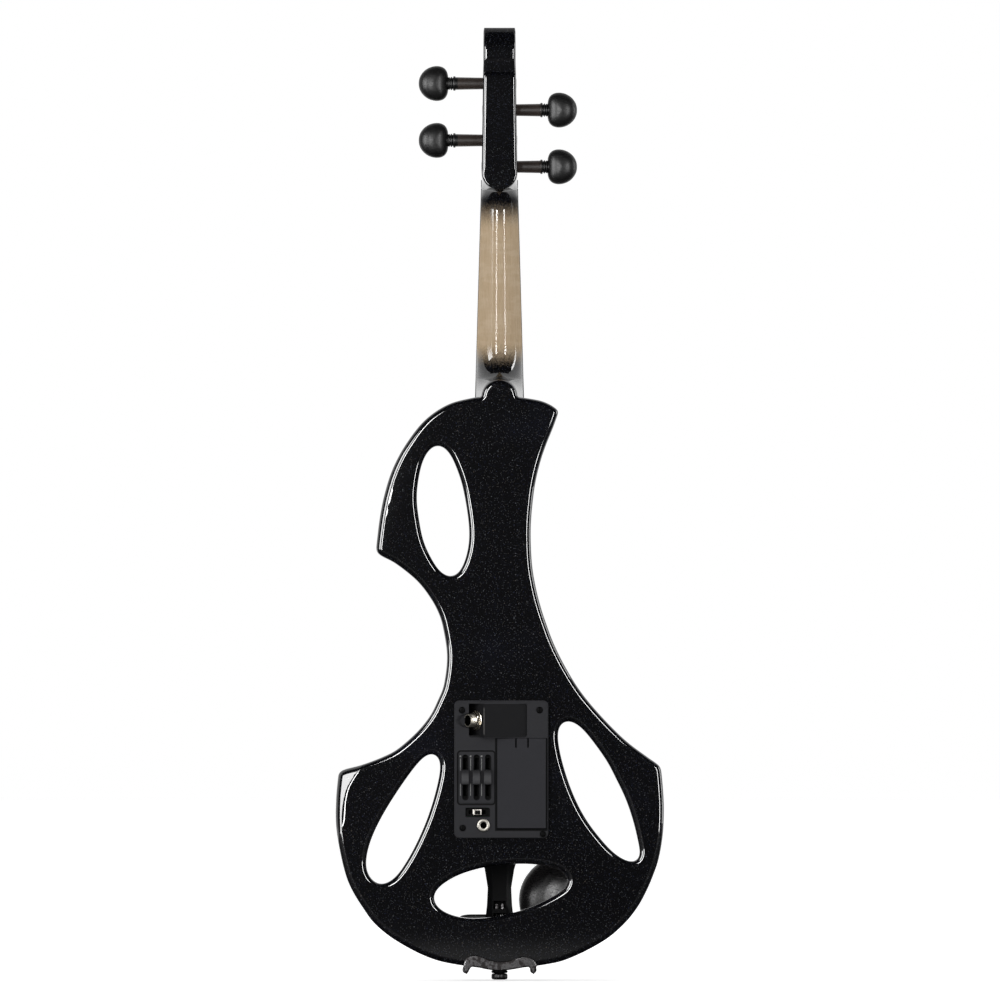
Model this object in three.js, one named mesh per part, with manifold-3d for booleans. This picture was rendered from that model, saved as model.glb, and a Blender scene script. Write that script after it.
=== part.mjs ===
// Electric violin with a cut-out body, seen in the photograph from its back.
// Units are millimetres. +Z runs from the end button to the head, the strings are on the -Y side
// and the flat back faces +Y. The origin is the middle of the end button's flat outer face.
import * as THREE from 'three';
import { mergeVertices } from 'three/addons/utils/BufferGeometryUtils.js';
import Module from 'manifold-3d';

const wasm = await Module();
wasm.setup();

// Driving dimensions

const FIT_GAP = 0.3; // between fixed neighbours
const RUN_GAP = 0.25; // round parts that turn in their holes
const CUT_OVER = 2; // how far a cut runs past the face it opens
const EDGE_STEPS = 2;
const ROUND_SIDES = 12;
const CORD_SIDES = 8;
const STRING_SIDES = 6;

const BODY = {
  length: 355, thickness: 30, edge: 2, flareOver: 0.05, buttonThickness: 4.4, buttonEdge: 1,
  mortiseDepth: 6, buttonHole: 34, stopShare: 0.557746,
};
const END_BUTTON = {
  standout: 6.8, faceRadius: 3.6, radius: 5, lip: 0.7, rimTop: 2.6, grooveStart: 3.5,
  grooveRadius: 3.2, grooveEnd: 6.2, shankRadius: 3.6, shankTipRadius: 3.2, length: 30,
};
const NECK = {
  length: 130, depthAtNut: 12.3, depthAtHeel: 13.8, overhang: 0.3, buttonHalfWidth: 11.4,
  buttonHeight: 11.2, heelHeight: 32, chinDrop: 15, chinStart: 1.3, chinRise: 9.3,
};
const FINGERBOARD = {
  length: 270, nutHalfWidth: 11.5, endHalfWidth: 19.2, glueLiftAtNut: 16.3, glueLiftAtEnd: 28.6,
  edgeThickness: 5, crownRadius: 42,
};
const NUT = { length: 5, rise: 0.8, grooveDepth: 0.6, grooveHalfWidth: 0.7 };
const PEGBOX = {
  back: 8, backMiddle: 9.3, chinHalfWidth: 10.4, lowHalfWidth: 11.3, highHalfWidth: 10.5,
  cheekLiftLow: 18.5, cheekLiftHigh: 10.5, cheekStart: 6.3, creaseHeight: 71.9, creaseBack: 7.4,
  creaseLength: 2.4, troughStart: 6.8, troughEnd: 69.4, troughLowHalf: 8.3, troughHighHalf: 6.6,
  backWall: 5,
};
const HEAD = {
  top: 99.4, halfDepth: 12.2, halfHeight: 16, middleLift: 2, halfWidth: 10.2, topHalfWidth: 9.5,
};
const PEG = {
  trebleReach: 26.6, bassReach: 25, shaftRadius: 3.9, shaftTipRadius: 3.3, headLength: 17.6,
  headHalfHeight: 10.95,
  headThickness: 9, headEdge: 3, neckRadius: 2.9, ringRadius: 4.1, ringLength: 1.7, ringWaist: 3.5,
  collarRadius: 4.4, collarLength: 2,
};
const PEG_HEIGHT = { g: 13.1, d: 48.3, a: 64.8, e: 29.5 }; // over the nut
const PEG_LIFT = { g: 8, d: 4.6, a: 3.2, e: 6.8 };
const STRING_RADIUS = { g: 0.4, d: 0.38, a: 0.34, e: 0.16 };
const WINDING_START = { g: 1.6, d: 1.2, a: 1.2, e: 1.6 };
const WINDING = { loops: 2, stepsPerLoop: 24, sides: 6, pitch: 1.35, seatGap: 0.3 };
const STRING_SPREAD = { nut: 16.5, bridge: 34, tail: 27.6 };
const BRIDGE = {
  height: 33.2, thickness: 4.4, topThickness: 1.6, crownRadius: 42, halfWidth: 20.6,
  grooveDepth: 0.5, grooveHalfWidth: 0.7, holeRadius: 2.7,
};
const PICKUP = {
  length: 10, width: 3.4, thickness: 1.2, recess: 1.6, offset: 14.8, leadRadius: 0.8,
  channelRadius: 1.5, sag: 4.6, landing: 0.6, bend: 2.5,
};
const SADDLE = { halfWidth: 14, length: 5.2, standout: 4.8, depth: 5, inset: 2, round: 1.4 };
const TAILPIECE = {
  length: 98, gutRun: 1.4, halfWidth: 19, depth: 9.6, lift: 38.7, slotHalfWidth: 1.9, slotDepth: 10.4,
  channelDepth: 21, roof: 3.6, tailRoom: 0.6, tailRoomHalfWidth: 3.8, pocketStart: 66.5,
  pocketEnd: 71.5, wallEnd: 74,
};
const LEVER = {
  halfWidth: 1.6, hub: 2.2, armThickness: 2.2, armLength: 14, armDrop: 0.8, fingerHalf: 1.1,
  fingerRise: 1.2, notchHalfWidth: 0.7, notchDepth: 0.7, hubSides: 12,
};
const PIVOT = { radius: 0.9, depth: 6.2, setback: 4, halfLength: 17.6 };
const TUNER = {
  setback: 14.6, stemRadius: 1.25, knobRadius: 3.9, knobHeight: 5.4, knobLift: 1.6, socket: 2.2,
  knurlDepth: 0.25, knurls: 11, tipGap: 0.35, knobEdge: 0.5,
};
const BALL = { radius: 1.4 };
const TAILGUT = { radius: 0.8, halfSpread: 1.9, depth: 2.6, loopHeight: 4.9 };
const TAILGUT_NUT = { radius: 1.6, length: 3 };
const CHIN = {
  clampReach: 21, clampDrop: 6, plateLow: 8.9, plateHigh: 41.5, plateTreble: 28, plateBass: 52,
  plateLift: 30.6, plateThickness: 5, plateEdge: 1.4, footInner: 14.5, footHigh: 30, footBass: 40,
  footLow: 10.4, bossRadius: 2.2, plateCorner: 6.5, bossEnd: 21, corkThickness: 1.8,
};
const CUP = {
  across: 45, height: 54, halfWidth: 33, halfHeight: 26, bottomLift: 28, rimLift: 42, wall: 2.6,
  sides: 20,
};
const CLAMP = {
  studRadius: 1.1, studSocket: 8, barrelRadius: 2, barrelHalfLength: 8, boreRadius: 1.4,
  pinHoleRadius: 0.8, studGap: 1.5, plateThickness: 1.9, plateEdge: 0.5,
};
const PANEL = {
  bridgeDrop: 75.7, thickness: 2.5, corner: 3.2, edge: 0.6, leftMargin: 2.2, rightMargin: 1.3,
  lowMargin: 5.5, highMargin: 2.6,
};
const PANEL_SCREW = {
  headRadius: 1.9, headHeight: 1.1, shankRadius: 1.1, length: 12, sink: 0.5, slotWidth: 0.5,
  slotDepth: 0.6, sides: 10, slotReach: 1.3,
};
// How far each screw's middle is from the panel's edges
const SCREW_INSET = {
  highLeftX: 4.9, highLeftZ: 6.1, highRightX: 5.4, highRightZ: 6, lowLeftX: 5.3, lowLeftZ: 6.2,
  lowRightX: 3.3, lowRightZ: 2.5,
};
const COVER = {
  left: 1.5, thickness: 2, wall: 1.3, slitWidth: 0.9, slitLength: 5.7, slitOuter: -10.2,
  slitInner: -17.7, trunnionRadius: 0.5, trunnionReach: 0.7,
};
const BATTERY = {
  width: 26.2, height: 46, depth: 17.2, floorGap: 0.4, floor: 1.3, snapRadius: 2.8, snapHeight: 2.2,
  snapSpread: 12.7, contactGap: 0.5, edge: 1, sideGap: 0.85, leadRoom: 5,
};
const SLIDER = {
  spacing: 7, middle: 14.3, slotHalfWidth: 1.55, slotHalfLength: 14, capHalfWidth: 2.3,
  capHalfLength: 4.65, capHeight: 2.6, stemHalfWidth: 0.9, stemHalfLength: 1.5, travel: 10,
  saddle: 0.7, rimHalfWidth: 11.6, rimHalfHeight: 16.5, rimCorner: 2.4, rimWidth: 0.5, rimDepth: 0.5,
};
const POT = { halfWidth: 2.8, halfLength: 16.5, slotDepth: 4 };
const SWITCH = {
  across: 13.8, potGap: 2.6, slotHalfWidth: 7.3, slotHalfHeight: 2.8, knobHalfWidth: 2.75,
  knobHalfHeight: 1.75, travel: 4, stemHalfWidth: 1.1, stemHalfHeight: 0.9, bodyHalfWidth: 8.2,
  bodyHalfHeight: 2.6, proud: 0.5, slotDepth: 4,
};
const AUX = {
  across: 9.9, boardGap: 1.2, rimRadius: 4, rimHeight: 0.8, barrelRadius: 2.9, boreRadius: 1.8,
  bodyRadius: 3.8, bodyLength: 12, boreLength: 13,
};
const BOARD = {
  left: 25.2, right: 2.4, lowMargin: 0.6, highMargin: 5.6, jackGap: 3.1, back: 9.6, thickness: 1.6,
};
// Room round what the cavity holds, and the widths and heights of the lands for the screws
const CAVITY = {
  depth: 22.5, boardRoom: 0.6, wellRoom: 0.4, lowRoom: 0.3, jackRoom: 0.6, highEdge: 0.6,
  stepInset: 1.9, highLeftLand: 7.6, highRightLand: 9.6, highLand: 8.9, lowLeftLand: 8.8,
  lowLandGap: 2.4,
};
const JACK = {
  tilt: 35, across: 14.2, ridgeAcross: 9.6, ridgeRise: 3.5, coverGap: 1.2, pocketLeft: 19,
  pocketRight: -17.1, pocketHalf: 9.9, pocketStep: 1.2, wall: 1.3, faceWall: 2, mouth: 6.8,
  barrelRadius: 4.2, boreRadius: 3.25, bodyRadius: 5.4, bodyLength: 19, boreLength: 22,
  scallopRadius: 4.8, scallopFloor: 0.8, chamfer: 0.5,
};
const JACK_NUT = { radius: 5.7, thickness: 1.9, washerRadius: 6.3, washerThickness: 0.6 };

// Places that follow from the driving dimensions

const BACK = BODY.thickness / 2;
const FRONT = -BODY.thickness / 2;
const BODY_BOTTOM = END_BUTTON.standout;

// The outline is read from the photograph. Its pixels become millimetres by the body's length.
const PHOTO_MIDDLE_COLUMN = 499.5;
const PHOTO_BOTTOM_ROW = 969;
const PHOTO_TOP_ROW = 397;
const PIXEL = BODY.length / (PHOTO_BOTTOM_ROW - PHOTO_TOP_ROW);

const photoPoint = ([column, row]) => new THREE.Vector2(
  (PHOTO_MIDDLE_COLUMN - column) * PIXEL,
  BODY_BOTTOM + (PHOTO_BOTTOM_ROW - row) * PIXEL,
);

const upperLeftPixels = [
  [476, 397], [449, 404], [425, 420], [406, 444], [393, 468], [385, 492], [380, 516], [376, 548],
];
const waistLeftPixels = [
  [382, 556.5], [396, 564], [416, 580], [429, 596], [438, 612], [443, 628], [447, 656],
  [444, 684], [438, 700], [430, 716], [417, 732], [399, 748], [385, 756], [363, 764.5], [346, 769],
];
const lowerPixels = [
  [338, 777], [336, 800], [336, 826], [340, 852], [346, 876], [353, 892], [363, 908], [375, 924],
  [395, 940], [425, 956], [453, 964], [500, 969], [549, 964], [575, 956], [605, 940], [624, 924],
  [637, 908], [646, 892], [653, 876], [659, 858], [663, 834], [664, 808], [663, 788], [661.5, 772],
];
const waistRightPixels = [
  [655.5, 762.6], [646, 756], [625, 740], [601, 716], [581, 692], [566, 668], [554, 644],
  [545, 620], [540, 604], [536, 588], [532.5, 568], [531, 546], [531, 524], [533, 500], [536, 480],
  [541, 460], [546.5, 444], [553, 428], [557.5, 416],
];
const upperRightPixels = [[552, 406], [540, 402], [523, 397]];
const tipPixels = {
  upperLeft: [377.3, 552.8], lowerLeft: [340.4, 771.8], lowerRight: [660, 766.4],
  upperRight: [557.6, 410.2],
};
const openingPixels = [
  [[437.5, 443.5], [449, 452], [456.5, 468], [462, 484], [466, 504], [468.8, 524], [469.2, 540],
    [466.5, 556], [460, 572], [451.5, 578], [440, 572], [430, 556], [423, 540], [418.5, 516],
    [416.6, 497], [419, 476], [423, 460], [428, 451]],
  [[434, 752], [440, 758], [440.5, 768], [438.5, 780], [434, 798], [427.5, 818], [420, 836],
    [410, 856], [397, 876], [388, 883], [380, 885.7], [371, 880], [366, 870], [366, 860],
    [369.5, 844], [376, 828], [384.5, 812], [395, 795], [408, 776], [418, 763], [427, 754]],
  [[568, 719.6], [577, 724], [585, 731.5], [597, 747], [608, 763], [616, 779], [624, 795],
    [630, 811], [635, 828], [638.5, 844], [640.8, 854], [640, 860], [635.4, 863.3], [626, 861],
    [613, 852.5], [599, 837], [587, 821], [578, 805], [571, 789], [565.5, 773], [561, 757],
    [558, 741], [557.7, 730], [561, 722]],
  [[514, 864], [495, 865.5], [475, 869.5], [456, 876], [442, 884.5], [434, 892], [432.4, 899],
    [437, 907.5], [448, 914], [462, 917.8], [476, 918.5], [495, 916.8], [515, 912.5], [535, 905.5],
    [552, 897], [565, 889], [570, 883], [567, 875], [557, 868.5], [540, 864.8], [527, 863.8]],
];
const BRACKET_STUD_COLUMNS = 33.84; // from the middle column to a stud
const BRACKET_STUD_ROW = 970.3;
const bracketPixels = [
  [463.7, 964], [466.5, 958.2], [474.2, 955.2], [482, 956.8], [491, 960.3], [500.4, 961.6],
  [510, 960.5], [517, 957.9], [524.6, 956.5], [532.6, 959], [536.4, 964.8], [536, 970.4],
  [533.5, 972.7], [529.8, 970.4], [529.1, 967.3], [518.9, 968.3], [500.4, 970.8], [486.4, 969.2],
  [471.7, 967.6], [470.4, 970.4], [466.6, 972.7], [463.8, 970],
];

const BODY_TOP = photoPoint([PHOTO_MIDDLE_COLUMN, PHOTO_TOP_ROW]).y;
const NUT_Z = BODY_TOP + NECK.length;
const BRIDGE_Z = BODY_TOP - BODY.length * BODY.stopShare;
const BOARD_END_Z = NUT_Z - FINGERBOARD.length;
const SADDLE_LOW = BODY_BOTTOM + SADDLE.inset;
const SADDLE_HIGH = SADDLE_LOW + SADDLE.length;
const PANEL_SEAT = BACK + FIT_GAP;
const PANEL_FACE = PANEL_SEAT + PANEL.thickness;

// The panel follows the bridge, whose pickup is wired into the cavity behind it. It is as large
// as what it carries: the cover over the battery, then the jack above it.
const PANEL_LOW = BRIDGE_Z - PANEL.bridgeDrop;
const COVER_RIGHT = COVER.left - BATTERY.width - 2 * BATTERY.sideGap - 2 * COVER.wall;
const COVER_LOW = PANEL_LOW + PANEL.lowMargin;
const COVER_HIGH = COVER_LOW + BATTERY.height + BATTERY.snapHeight + BATTERY.contactGap
  + BATTERY.leadRoom + 2 * COVER.wall;
const JACK_Z = COVER_HIGH + JACK.coverGap + JACK.pocketHalf;
const PANEL_HIGH = JACK_Z + JACK.pocketHalf + PANEL.highMargin;
const PANEL_LEFT = SLIDER.middle + SLIDER.rimHalfWidth + PANEL.leftMargin;
const PANEL_RIGHT = COVER_RIGHT - PANEL.rightMargin;

// The circuit board ends below the jack. The sliders, the switch and the small jack follow down.
const BOARD_HIGH = JACK_Z - JACK.pocketHalf - BOARD.jackGap;
const SLIDER_Z = BOARD_HIGH - BOARD.highMargin - POT.halfLength;
const SWITCH_Z = SLIDER_Z - POT.halfLength - SWITCH.potGap - SWITCH.bodyHalfHeight;
const BOARD_LOW = SWITCH_Z - SWITCH.bodyHalfHeight - BOARD.lowMargin;
const AUX_Z = BOARD_LOW - AUX.boardGap - AUX.bodyRadius;

const GLUE_SLOPE = (FINGERBOARD.glueLiftAtEnd - FINGERBOARD.glueLiftAtNut) / FINGERBOARD.length;
const WIDTH_SLOPE = (FINGERBOARD.endHalfWidth - FINGERBOARD.nutHalfWidth) / FINGERBOARD.length;
const glueAt = (z) => -FINGERBOARD.glueLiftAtNut - (NUT_Z - z) * GLUE_SLOPE;
const boardHalfAt = (z) => FINGERBOARD.nutHalfWidth + (NUT_Z - z) * WIDTH_SLOPE;
const crownDrop = (radius, x) => radius - Math.sqrt(radius * radius - x * x);

// Building blocks

function toSolid(geometry) {
  const bare = geometry.clone();
  bare.deleteAttribute('normal');
  bare.deleteAttribute('uv');
  const merged = mergeVertices(bare);
  const corners = merged.index.array;
  const kept = [];
  for (let i = 0; i < corners.length; i += 3) {
    const [a, b, c] = [corners[i], corners[i + 1], corners[i + 2]];
    if (a !== b && b !== c && c !== a) kept.push(a, b, c);
  }
  const vertProperties = new Float32Array(merged.attributes.position.array);
  return new wasm.Manifold(new wasm.Mesh({
    numProp: 3, vertProperties, triVerts: new Uint32Array(kept),
  }));
}

function toGeometry(solid) {
  const mesh = solid.getMesh();
  const geometry = new THREE.BufferGeometry();
  geometry.setAttribute('position', new THREE.BufferAttribute(mesh.vertProperties, 3));
  geometry.setIndex(new THREE.BufferAttribute(mesh.triVerts, 1));
  geometry.computeVertexNormals();
  return geometry;
}

function block(x0, x1, y0, y1, z0, z1) {
  const geometry = new THREE.BoxGeometry(x1 - x0, y1 - y0, z1 - z0);
  geometry.translate((x0 + x1) / 2, (y0 + y1) / 2, (z0 + z1) / 2);
  return toSolid(geometry);
}

// An outline in x and z. Its back face lies at y = back, and it runs on towards the strings.
function slab(shape, back, thickness, edge = 0, steps = EDGE_STEPS) {
  const geometry = new THREE.ExtrudeGeometry(shape, {
    depth: thickness - 2 * edge, bevelEnabled: edge > 0, bevelThickness: edge, bevelSize: edge,
    bevelOffset: -edge, bevelSegments: steps, curveSegments: 4,
  });
  geometry.rotateX(Math.PI / 2);
  geometry.translate(0, back - edge, 0);
  return toSolid(geometry);
}

// A side profile in y and z, drawn out along x.
function profileAlongX(shape, x0, x1) {
  const geometry = new THREE.ExtrudeGeometry(shape, { depth: x1 - x0, bevelEnabled: false });
  geometry.applyMatrix4(new THREE.Matrix4().makeBasis(
    new THREE.Vector3(0, 1, 0), new THREE.Vector3(0, 0, 1), new THREE.Vector3(1, 0, 0),
  ));
  geometry.translate(x0, 0, 0);
  return toSolid(geometry);
}

// A profile in x and y, drawn out along z.
function profileAlongZ(shape, z0, z1) {
  const geometry = new THREE.ExtrudeGeometry(shape, { depth: z1 - z0, bevelEnabled: false });
  geometry.translate(0, 0, z0);
  return toSolid(geometry);
}

const vector = (x, y, z) => new THREE.Vector3(x, y, z);
const shapeOf = (points) => new THREE.Shape(points.map(([u, v]) => new THREE.Vector2(u, v)));

function alignTo(geometry, from, direction) {
  const turn = new THREE.Quaternion().setFromUnitVectors(vector(0, 1, 0), direction);
  geometry.applyQuaternion(turn);
  geometry.translate(from.x, from.y, from.z);
  return geometry;
}

function rod(from, to, radius, endRadius = radius, sides = ROUND_SIDES) {
  const length = from.distanceTo(to);
  const geometry = new THREE.CylinderGeometry(endRadius, radius, length, sides);
  geometry.translate(0, length / 2, 0);
  const direction = to.clone().sub(from).normalize();
  return toSolid(alignTo(geometry, from, direction));
}

// A turned piece. Each row is a radius and a distance along the axis.
function turned(rows, from, direction, sides = ROUND_SIDES) {
  const points = rows.map(([radius, along]) => new THREE.Vector2(radius, along));
  return toSolid(alignTo(new THREE.LatheGeometry(points, sides), from, direction));
}

// Closed rings with alike counts of points, skinned in order and closed at both ends.
function loft(rings) {
  const count = rings[0].length;
  const places = rings.flat().flatMap((p) => [p.x, p.y, p.z]);
  const faces = [];
  for (let r = 0; r + 1 < rings.length; r += 1) {
    for (let i = 0; i < count; i += 1) {
      const a = r * count + i;
      const b = r * count + ((i + 1) % count);
      faces.push(a, b, a + count, b, b + count, a + count);
    }
  }
  for (const r of [0, rings.length - 1]) {
    const middle = rings[r].reduce((sum, p) => sum.add(p), vector(0, 0, 0)).divideScalar(count);
    const tip = places.length / 3;
    places.push(middle.x, middle.y, middle.z);
    for (let i = 0; i < count; i += 1) {
      const a = r * count + i;
      const b = r * count + ((i + 1) % count);
      faces.push(...(r === 0 ? [tip, b, a] : [tip, a, b]));
    }
  }
  let volume = 0;
  const at = (i) => vector(places[3 * i], places[3 * i + 1], places[3 * i + 2]);
  for (let i = 0; i < faces.length; i += 3) {
    volume += at(faces[i]).dot(at(faces[i + 1]).cross(at(faces[i + 2])));
  }
  if (volume < 0) faces.reverse();
  const geometry = new THREE.BufferGeometry();
  geometry.setAttribute('position', new THREE.Float32BufferAttribute(places, 3));
  geometry.setIndex(faces);
  return toSolid(geometry);
}

// A round cord or wire through the points, with its rings kept square to the way it runs.
function tube(points, radius, sides = CORD_SIDES) {
  const rings = [];
  let side = null;
  points.forEach((point, i) => {
    const before = points[Math.max(i - 1, 0)];
    const after = points[Math.min(i + 1, points.length - 1)];
    const inward = point.clone().sub(before).normalize();
    const outward = after.clone().sub(point).normalize();
    const along = inward.add(outward).normalize();
    if (!side) {
      const helper = Math.abs(along.x) < 0.9 ? vector(1, 0, 0) : vector(0, 0, 1);
      side = helper.cross(along).normalize();
    } else {
      side = side.sub(along.clone().multiplyScalar(side.dot(along))).normalize();
    }
    const up = along.clone().cross(side);
    const ring = [];
    for (let k = 0; k < sides; k += 1) {
      const angle = (2 * Math.PI * k) / sides;
      ring.push(point.clone()
        .addScaledVector(side, radius * Math.cos(angle))
        .addScaledVector(up, radius * Math.sin(angle)));
    }
    rings.push(ring);
  });
  return loft(rings);
}

function roundedBox(halfWidth, halfHeight, corner, across, height) {
  const shape = new THREE.Shape();
  const [left, right] = [across - halfWidth, across + halfWidth];
  const [low, high] = [height - halfHeight, height + halfHeight];
  shape.moveTo(left + corner, low);
  shape.lineTo(right - corner, low);
  shape.absarc(right - corner, low + corner, corner, -Math.PI / 2, 0);
  shape.lineTo(right, high - corner);
  shape.absarc(right - corner, high - corner, corner, 0, Math.PI / 2);
  shape.lineTo(left + corner, high);
  shape.absarc(left + corner, high - corner, corner, Math.PI / 2, Math.PI);
  shape.lineTo(left, low + corner);
  shape.absarc(left + corner, low + corner, corner, Math.PI, 1.5 * Math.PI);
  return shape;
}

function curvePoints(pixels, stepsBetween) {
  const curve = new THREE.SplineCurve(pixels.map(photoPoint));
  return curve.getPoints((pixels.length - 1) * stepsBetween);
}

function closedPoints(pixels, count, toPlace = photoPoint) {
  const points = pixels.map(toPlace).map((p) => vector(p.x, p.y, 0));
  const curve = new THREE.CatmullRomCurve3(points, true);
  return curve.getSpacedPoints(count).slice(0, -1).map((p) => new THREE.Vector2(p.x, p.y));
}

const group = new THREE.Group();

function addPiece(name, solid, color, roughness, metalness, parent = group) {
  const material = new THREE.MeshStandardMaterial({ color, roughness, metalness });
  const mesh = new THREE.Mesh(toGeometry(solid), material);
  mesh.name = name;
  parent.add(mesh);
  return mesh;
}

// Colours and surfaces, read from the photograph

const LACQUER = [0x0b0b0f, 0.12, 0.1];
const MAPLE = [0xcdb9a0, 0.3, 0];
const EBONY = [0x17161a, 0.45, 0];
const PEG_WOOD = [0x222022, 0.4, 0];
const PLASTIC = [0x37373a, 0.55, 0];
const BLACK_PLASTIC = [0x121213, 0.4, 0];
const NICKEL = [0xb9b4a8, 0.25, 1];
const DARK_NICKEL = [0x4a4745, 0.35, 1];
const STEEL = [0xc4c6c9, 0.3, 1];
const NYLON = [0x1b1b1c, 0.5, 0];
const CORK = [0xb08a5c, 0.9, 0];
const BRIDGE_MAPLE = [0xd9b98a, 0.6, 0];
const BOARD_GREEN = [0x1f5a3a, 0.5, 0];
const BATTERY_GREY = [0x8d9095, 0.4, 0.3];

// Strings: G, D, A and E, from the bass side (-X) to the treble side (+X)

const nutTop = (x) => glueAt(NUT_Z) - FIT_GAP - FINGERBOARD.edgeThickness - NUT.rise
  - crownDrop(FINGERBOARD.crownRadius, FINGERBOARD.nutHalfWidth)
  + crownDrop(FINGERBOARD.crownRadius, x);
const bridgeTop = (x) => FRONT - FIT_GAP - BRIDGE.height + crownDrop(BRIDGE.crownRadius, x);

const strings = [
  { note: 'g', slotShare: -1 / 2, side: -1 },
  { note: 'd', slotShare: -1 / 6, side: -1 },
  { note: 'a', slotShare: 1 / 6, side: 1 },
  { note: 'e', slotShare: 1 / 2, side: 1 },
];
for (const string of strings) {
  string.radius = STRING_RADIUS[string.note];
  string.pegLift = PEG_LIFT[string.note];
  string.windingStart = WINDING_START[string.note];
  string.collarReach = string.side > 0 ? PEG.trebleReach : PEG.bassReach;
  string.nutX = string.slotShare * STRING_SPREAD.nut;
  string.bridgeX = string.slotShare * STRING_SPREAD.bridge;
  string.tailX = string.slotShare * STRING_SPREAD.tail;
  string.pegZ = NUT_Z + PEG_HEIGHT[string.note];
  string.nutY = nutTop(string.nutX) + NUT.grooveDepth - FIT_GAP - string.radius;
  string.bridgeY = bridgeTop(string.bridgeX) + BRIDGE.grooveDepth - FIT_GAP - string.radius;
}

// Pegbox shape, from the chin under the nut to the crease below the head

const pegboxHalfAt = (z) => {
  const low = NUT_Z + NECK.chinRise;
  const high = NUT_Z + PEGBOX.creaseHeight;
  const share = THREE.MathUtils.clamp((z - low) / (high - low), 0, 1);
  return THREE.MathUtils.lerp(PEGBOX.lowHalfWidth, PEGBOX.highHalfWidth, share);
};

// Pegs

const headOutlineShares = [
  [0, 0.3], [0.03, 0.62], [0.12, 0.87], [0.27, 0.99], [0.42, 1], [0.6, 0.94], [0.78, 0.77],
  [0.91, 0.53], [0.985, 0.26], [1, 0], [0.985, -0.26], [0.91, -0.53], [0.78, -0.77],
  [0.6, -0.94], [0.42, -1], [0.27, -0.99], [0.12, -0.87], [0.03, -0.62], [0, -0.3],
];

// The tapered shaft's radius at a reach from the middle, towards the peg's head
function pegShaftRadius({ collarReach }, reach) {
  const share = (collarReach - reach) / (collarReach + PEGBOX.lowHalfWidth);
  return THREE.MathUtils.lerp(PEG.shaftRadius, PEG.shaftTipRadius, share);
}

function pegSolid(string) {
  const axisY = -string.pegLift;
  const far = pegboxHalfAt(string.pegZ);
  const length = string.collarReach + far;
  const rings = 2 * PEG.ringLength;
  const start = vector(-string.side * far, axisY, string.pegZ);
  const collar = length + PEG.collarLength;
  const end = collar + rings;
  const shaft = turned([
    [0, 0], [PEG.shaftTipRadius, 0], [PEG.shaftRadius, length], [PEG.collarRadius, length],
    [PEG.collarRadius, collar], [PEG.ringWaist, collar], [PEG.ringRadius, collar + PEG.ringLength / 2],
    [PEG.ringWaist, collar + PEG.ringLength],
    [PEG.ringRadius, collar + 1.5 * PEG.ringLength], [PEG.neckRadius, end],
    [PEG.neckRadius, end + PEG.headEdge], [0, end + PEG.headEdge],
  ], start, vector(string.side, 0, 0));
  const base = string.side * (string.collarReach + PEG.collarLength + rings);
  const outline = headOutlineShares.map(([u, v]) => [
    base + string.side * u * PEG.headLength, string.pegZ + v * PEG.headHalfHeight,
  ]);
  const thumb = slab(
    shapeOf(outline), axisY + PEG.headThickness / 2, PEG.headThickness, PEG.headEdge,
  );
  return shaft.add(thumb);
}

for (const string of strings) {
  addPiece(`peg_${string.note}`, pegSolid(string), ...PEG_WOOD);
}

// String windings: a helix of loops on each peg, with straight ends one wire across long

function windingPoints(string, loops) {
  const coreRadius = pegShaftRadius(string, 0) + WINDING.seatGap + string.radius;
  const steps = loops * WINDING.stepsPerLoop;
  const startX = string.side * string.windingStart;
  const points = [];
  for (let i = 0; i <= steps; i += 1) {
    const angle = (2 * Math.PI * i) / WINDING.stepsPerLoop;
    const x = startX + (string.side * WINDING.pitch * i) / WINDING.stepsPerLoop;
    points.push(vector(
      x,
      -string.pegLift - coreRadius * Math.cos(angle),
      string.pegZ + coreRadius * Math.sin(angle),
    ));
  }
  const lead = vector(0, 0, 2 * string.radius);
  points.unshift(points[0].clone().sub(lead));
  points.push(points[points.length - 1].clone().add(lead));
  return points;
}

// The least gap between loops, measured from point to point
function leastSelfGap(points, diameter) {
  let least = Infinity;
  const apart = WINDING.stepsPerLoop / 2;
  for (let i = 0; i < points.length; i += 1) {
    for (let k = i + apart; k < points.length; k += 1) {
      least = Math.min(least, points[i].distanceTo(points[k]) - diameter);
    }
  }
  return least;
}

for (const string of strings) {
  const points = windingPoints(string, WINDING.loops);
  const gap = leastSelfGap(points, 2 * string.radius);
  console.log(`winding_${string.note}: least gap to itself ${gap.toFixed(2)} mm`);
  addPiece(`winding_${string.note}`, tube(points, string.radius, WINDING.sides), ...STEEL);
}

// Tail end frame: turned so that its z axis runs along the strings behind the bridge

const TAIL_TOP_Z = SADDLE_HIGH + TAILPIECE.gutRun + TAILPIECE.length;
const GUT_LIFT = SADDLE.standout - FRONT + FIT_GAP + TAILGUT.radius;
const TAIL_TILT = Math.atan2(
  TAILPIECE.lift - TAILGUT.depth - GUT_LIFT, TAIL_TOP_Z - SADDLE_HIGH,
);
const tail = new THREE.Group();
tail.position.set(0, -TAILPIECE.lift, TAIL_TOP_Z);
tail.rotation.x = TAIL_TILT;
tail.updateMatrixWorld(true);
group.add(tail);
const fromTail = (x, y, z) => vector(x, y, z).applyMatrix4(tail.matrixWorld);

// Strings, from the top of the winding over nut and bridge to the ball behind the lever's fork

const BALL_BACK = PIVOT.setback + LEVER.fingerHalf + FIT_GAP + BALL.radius;

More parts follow.
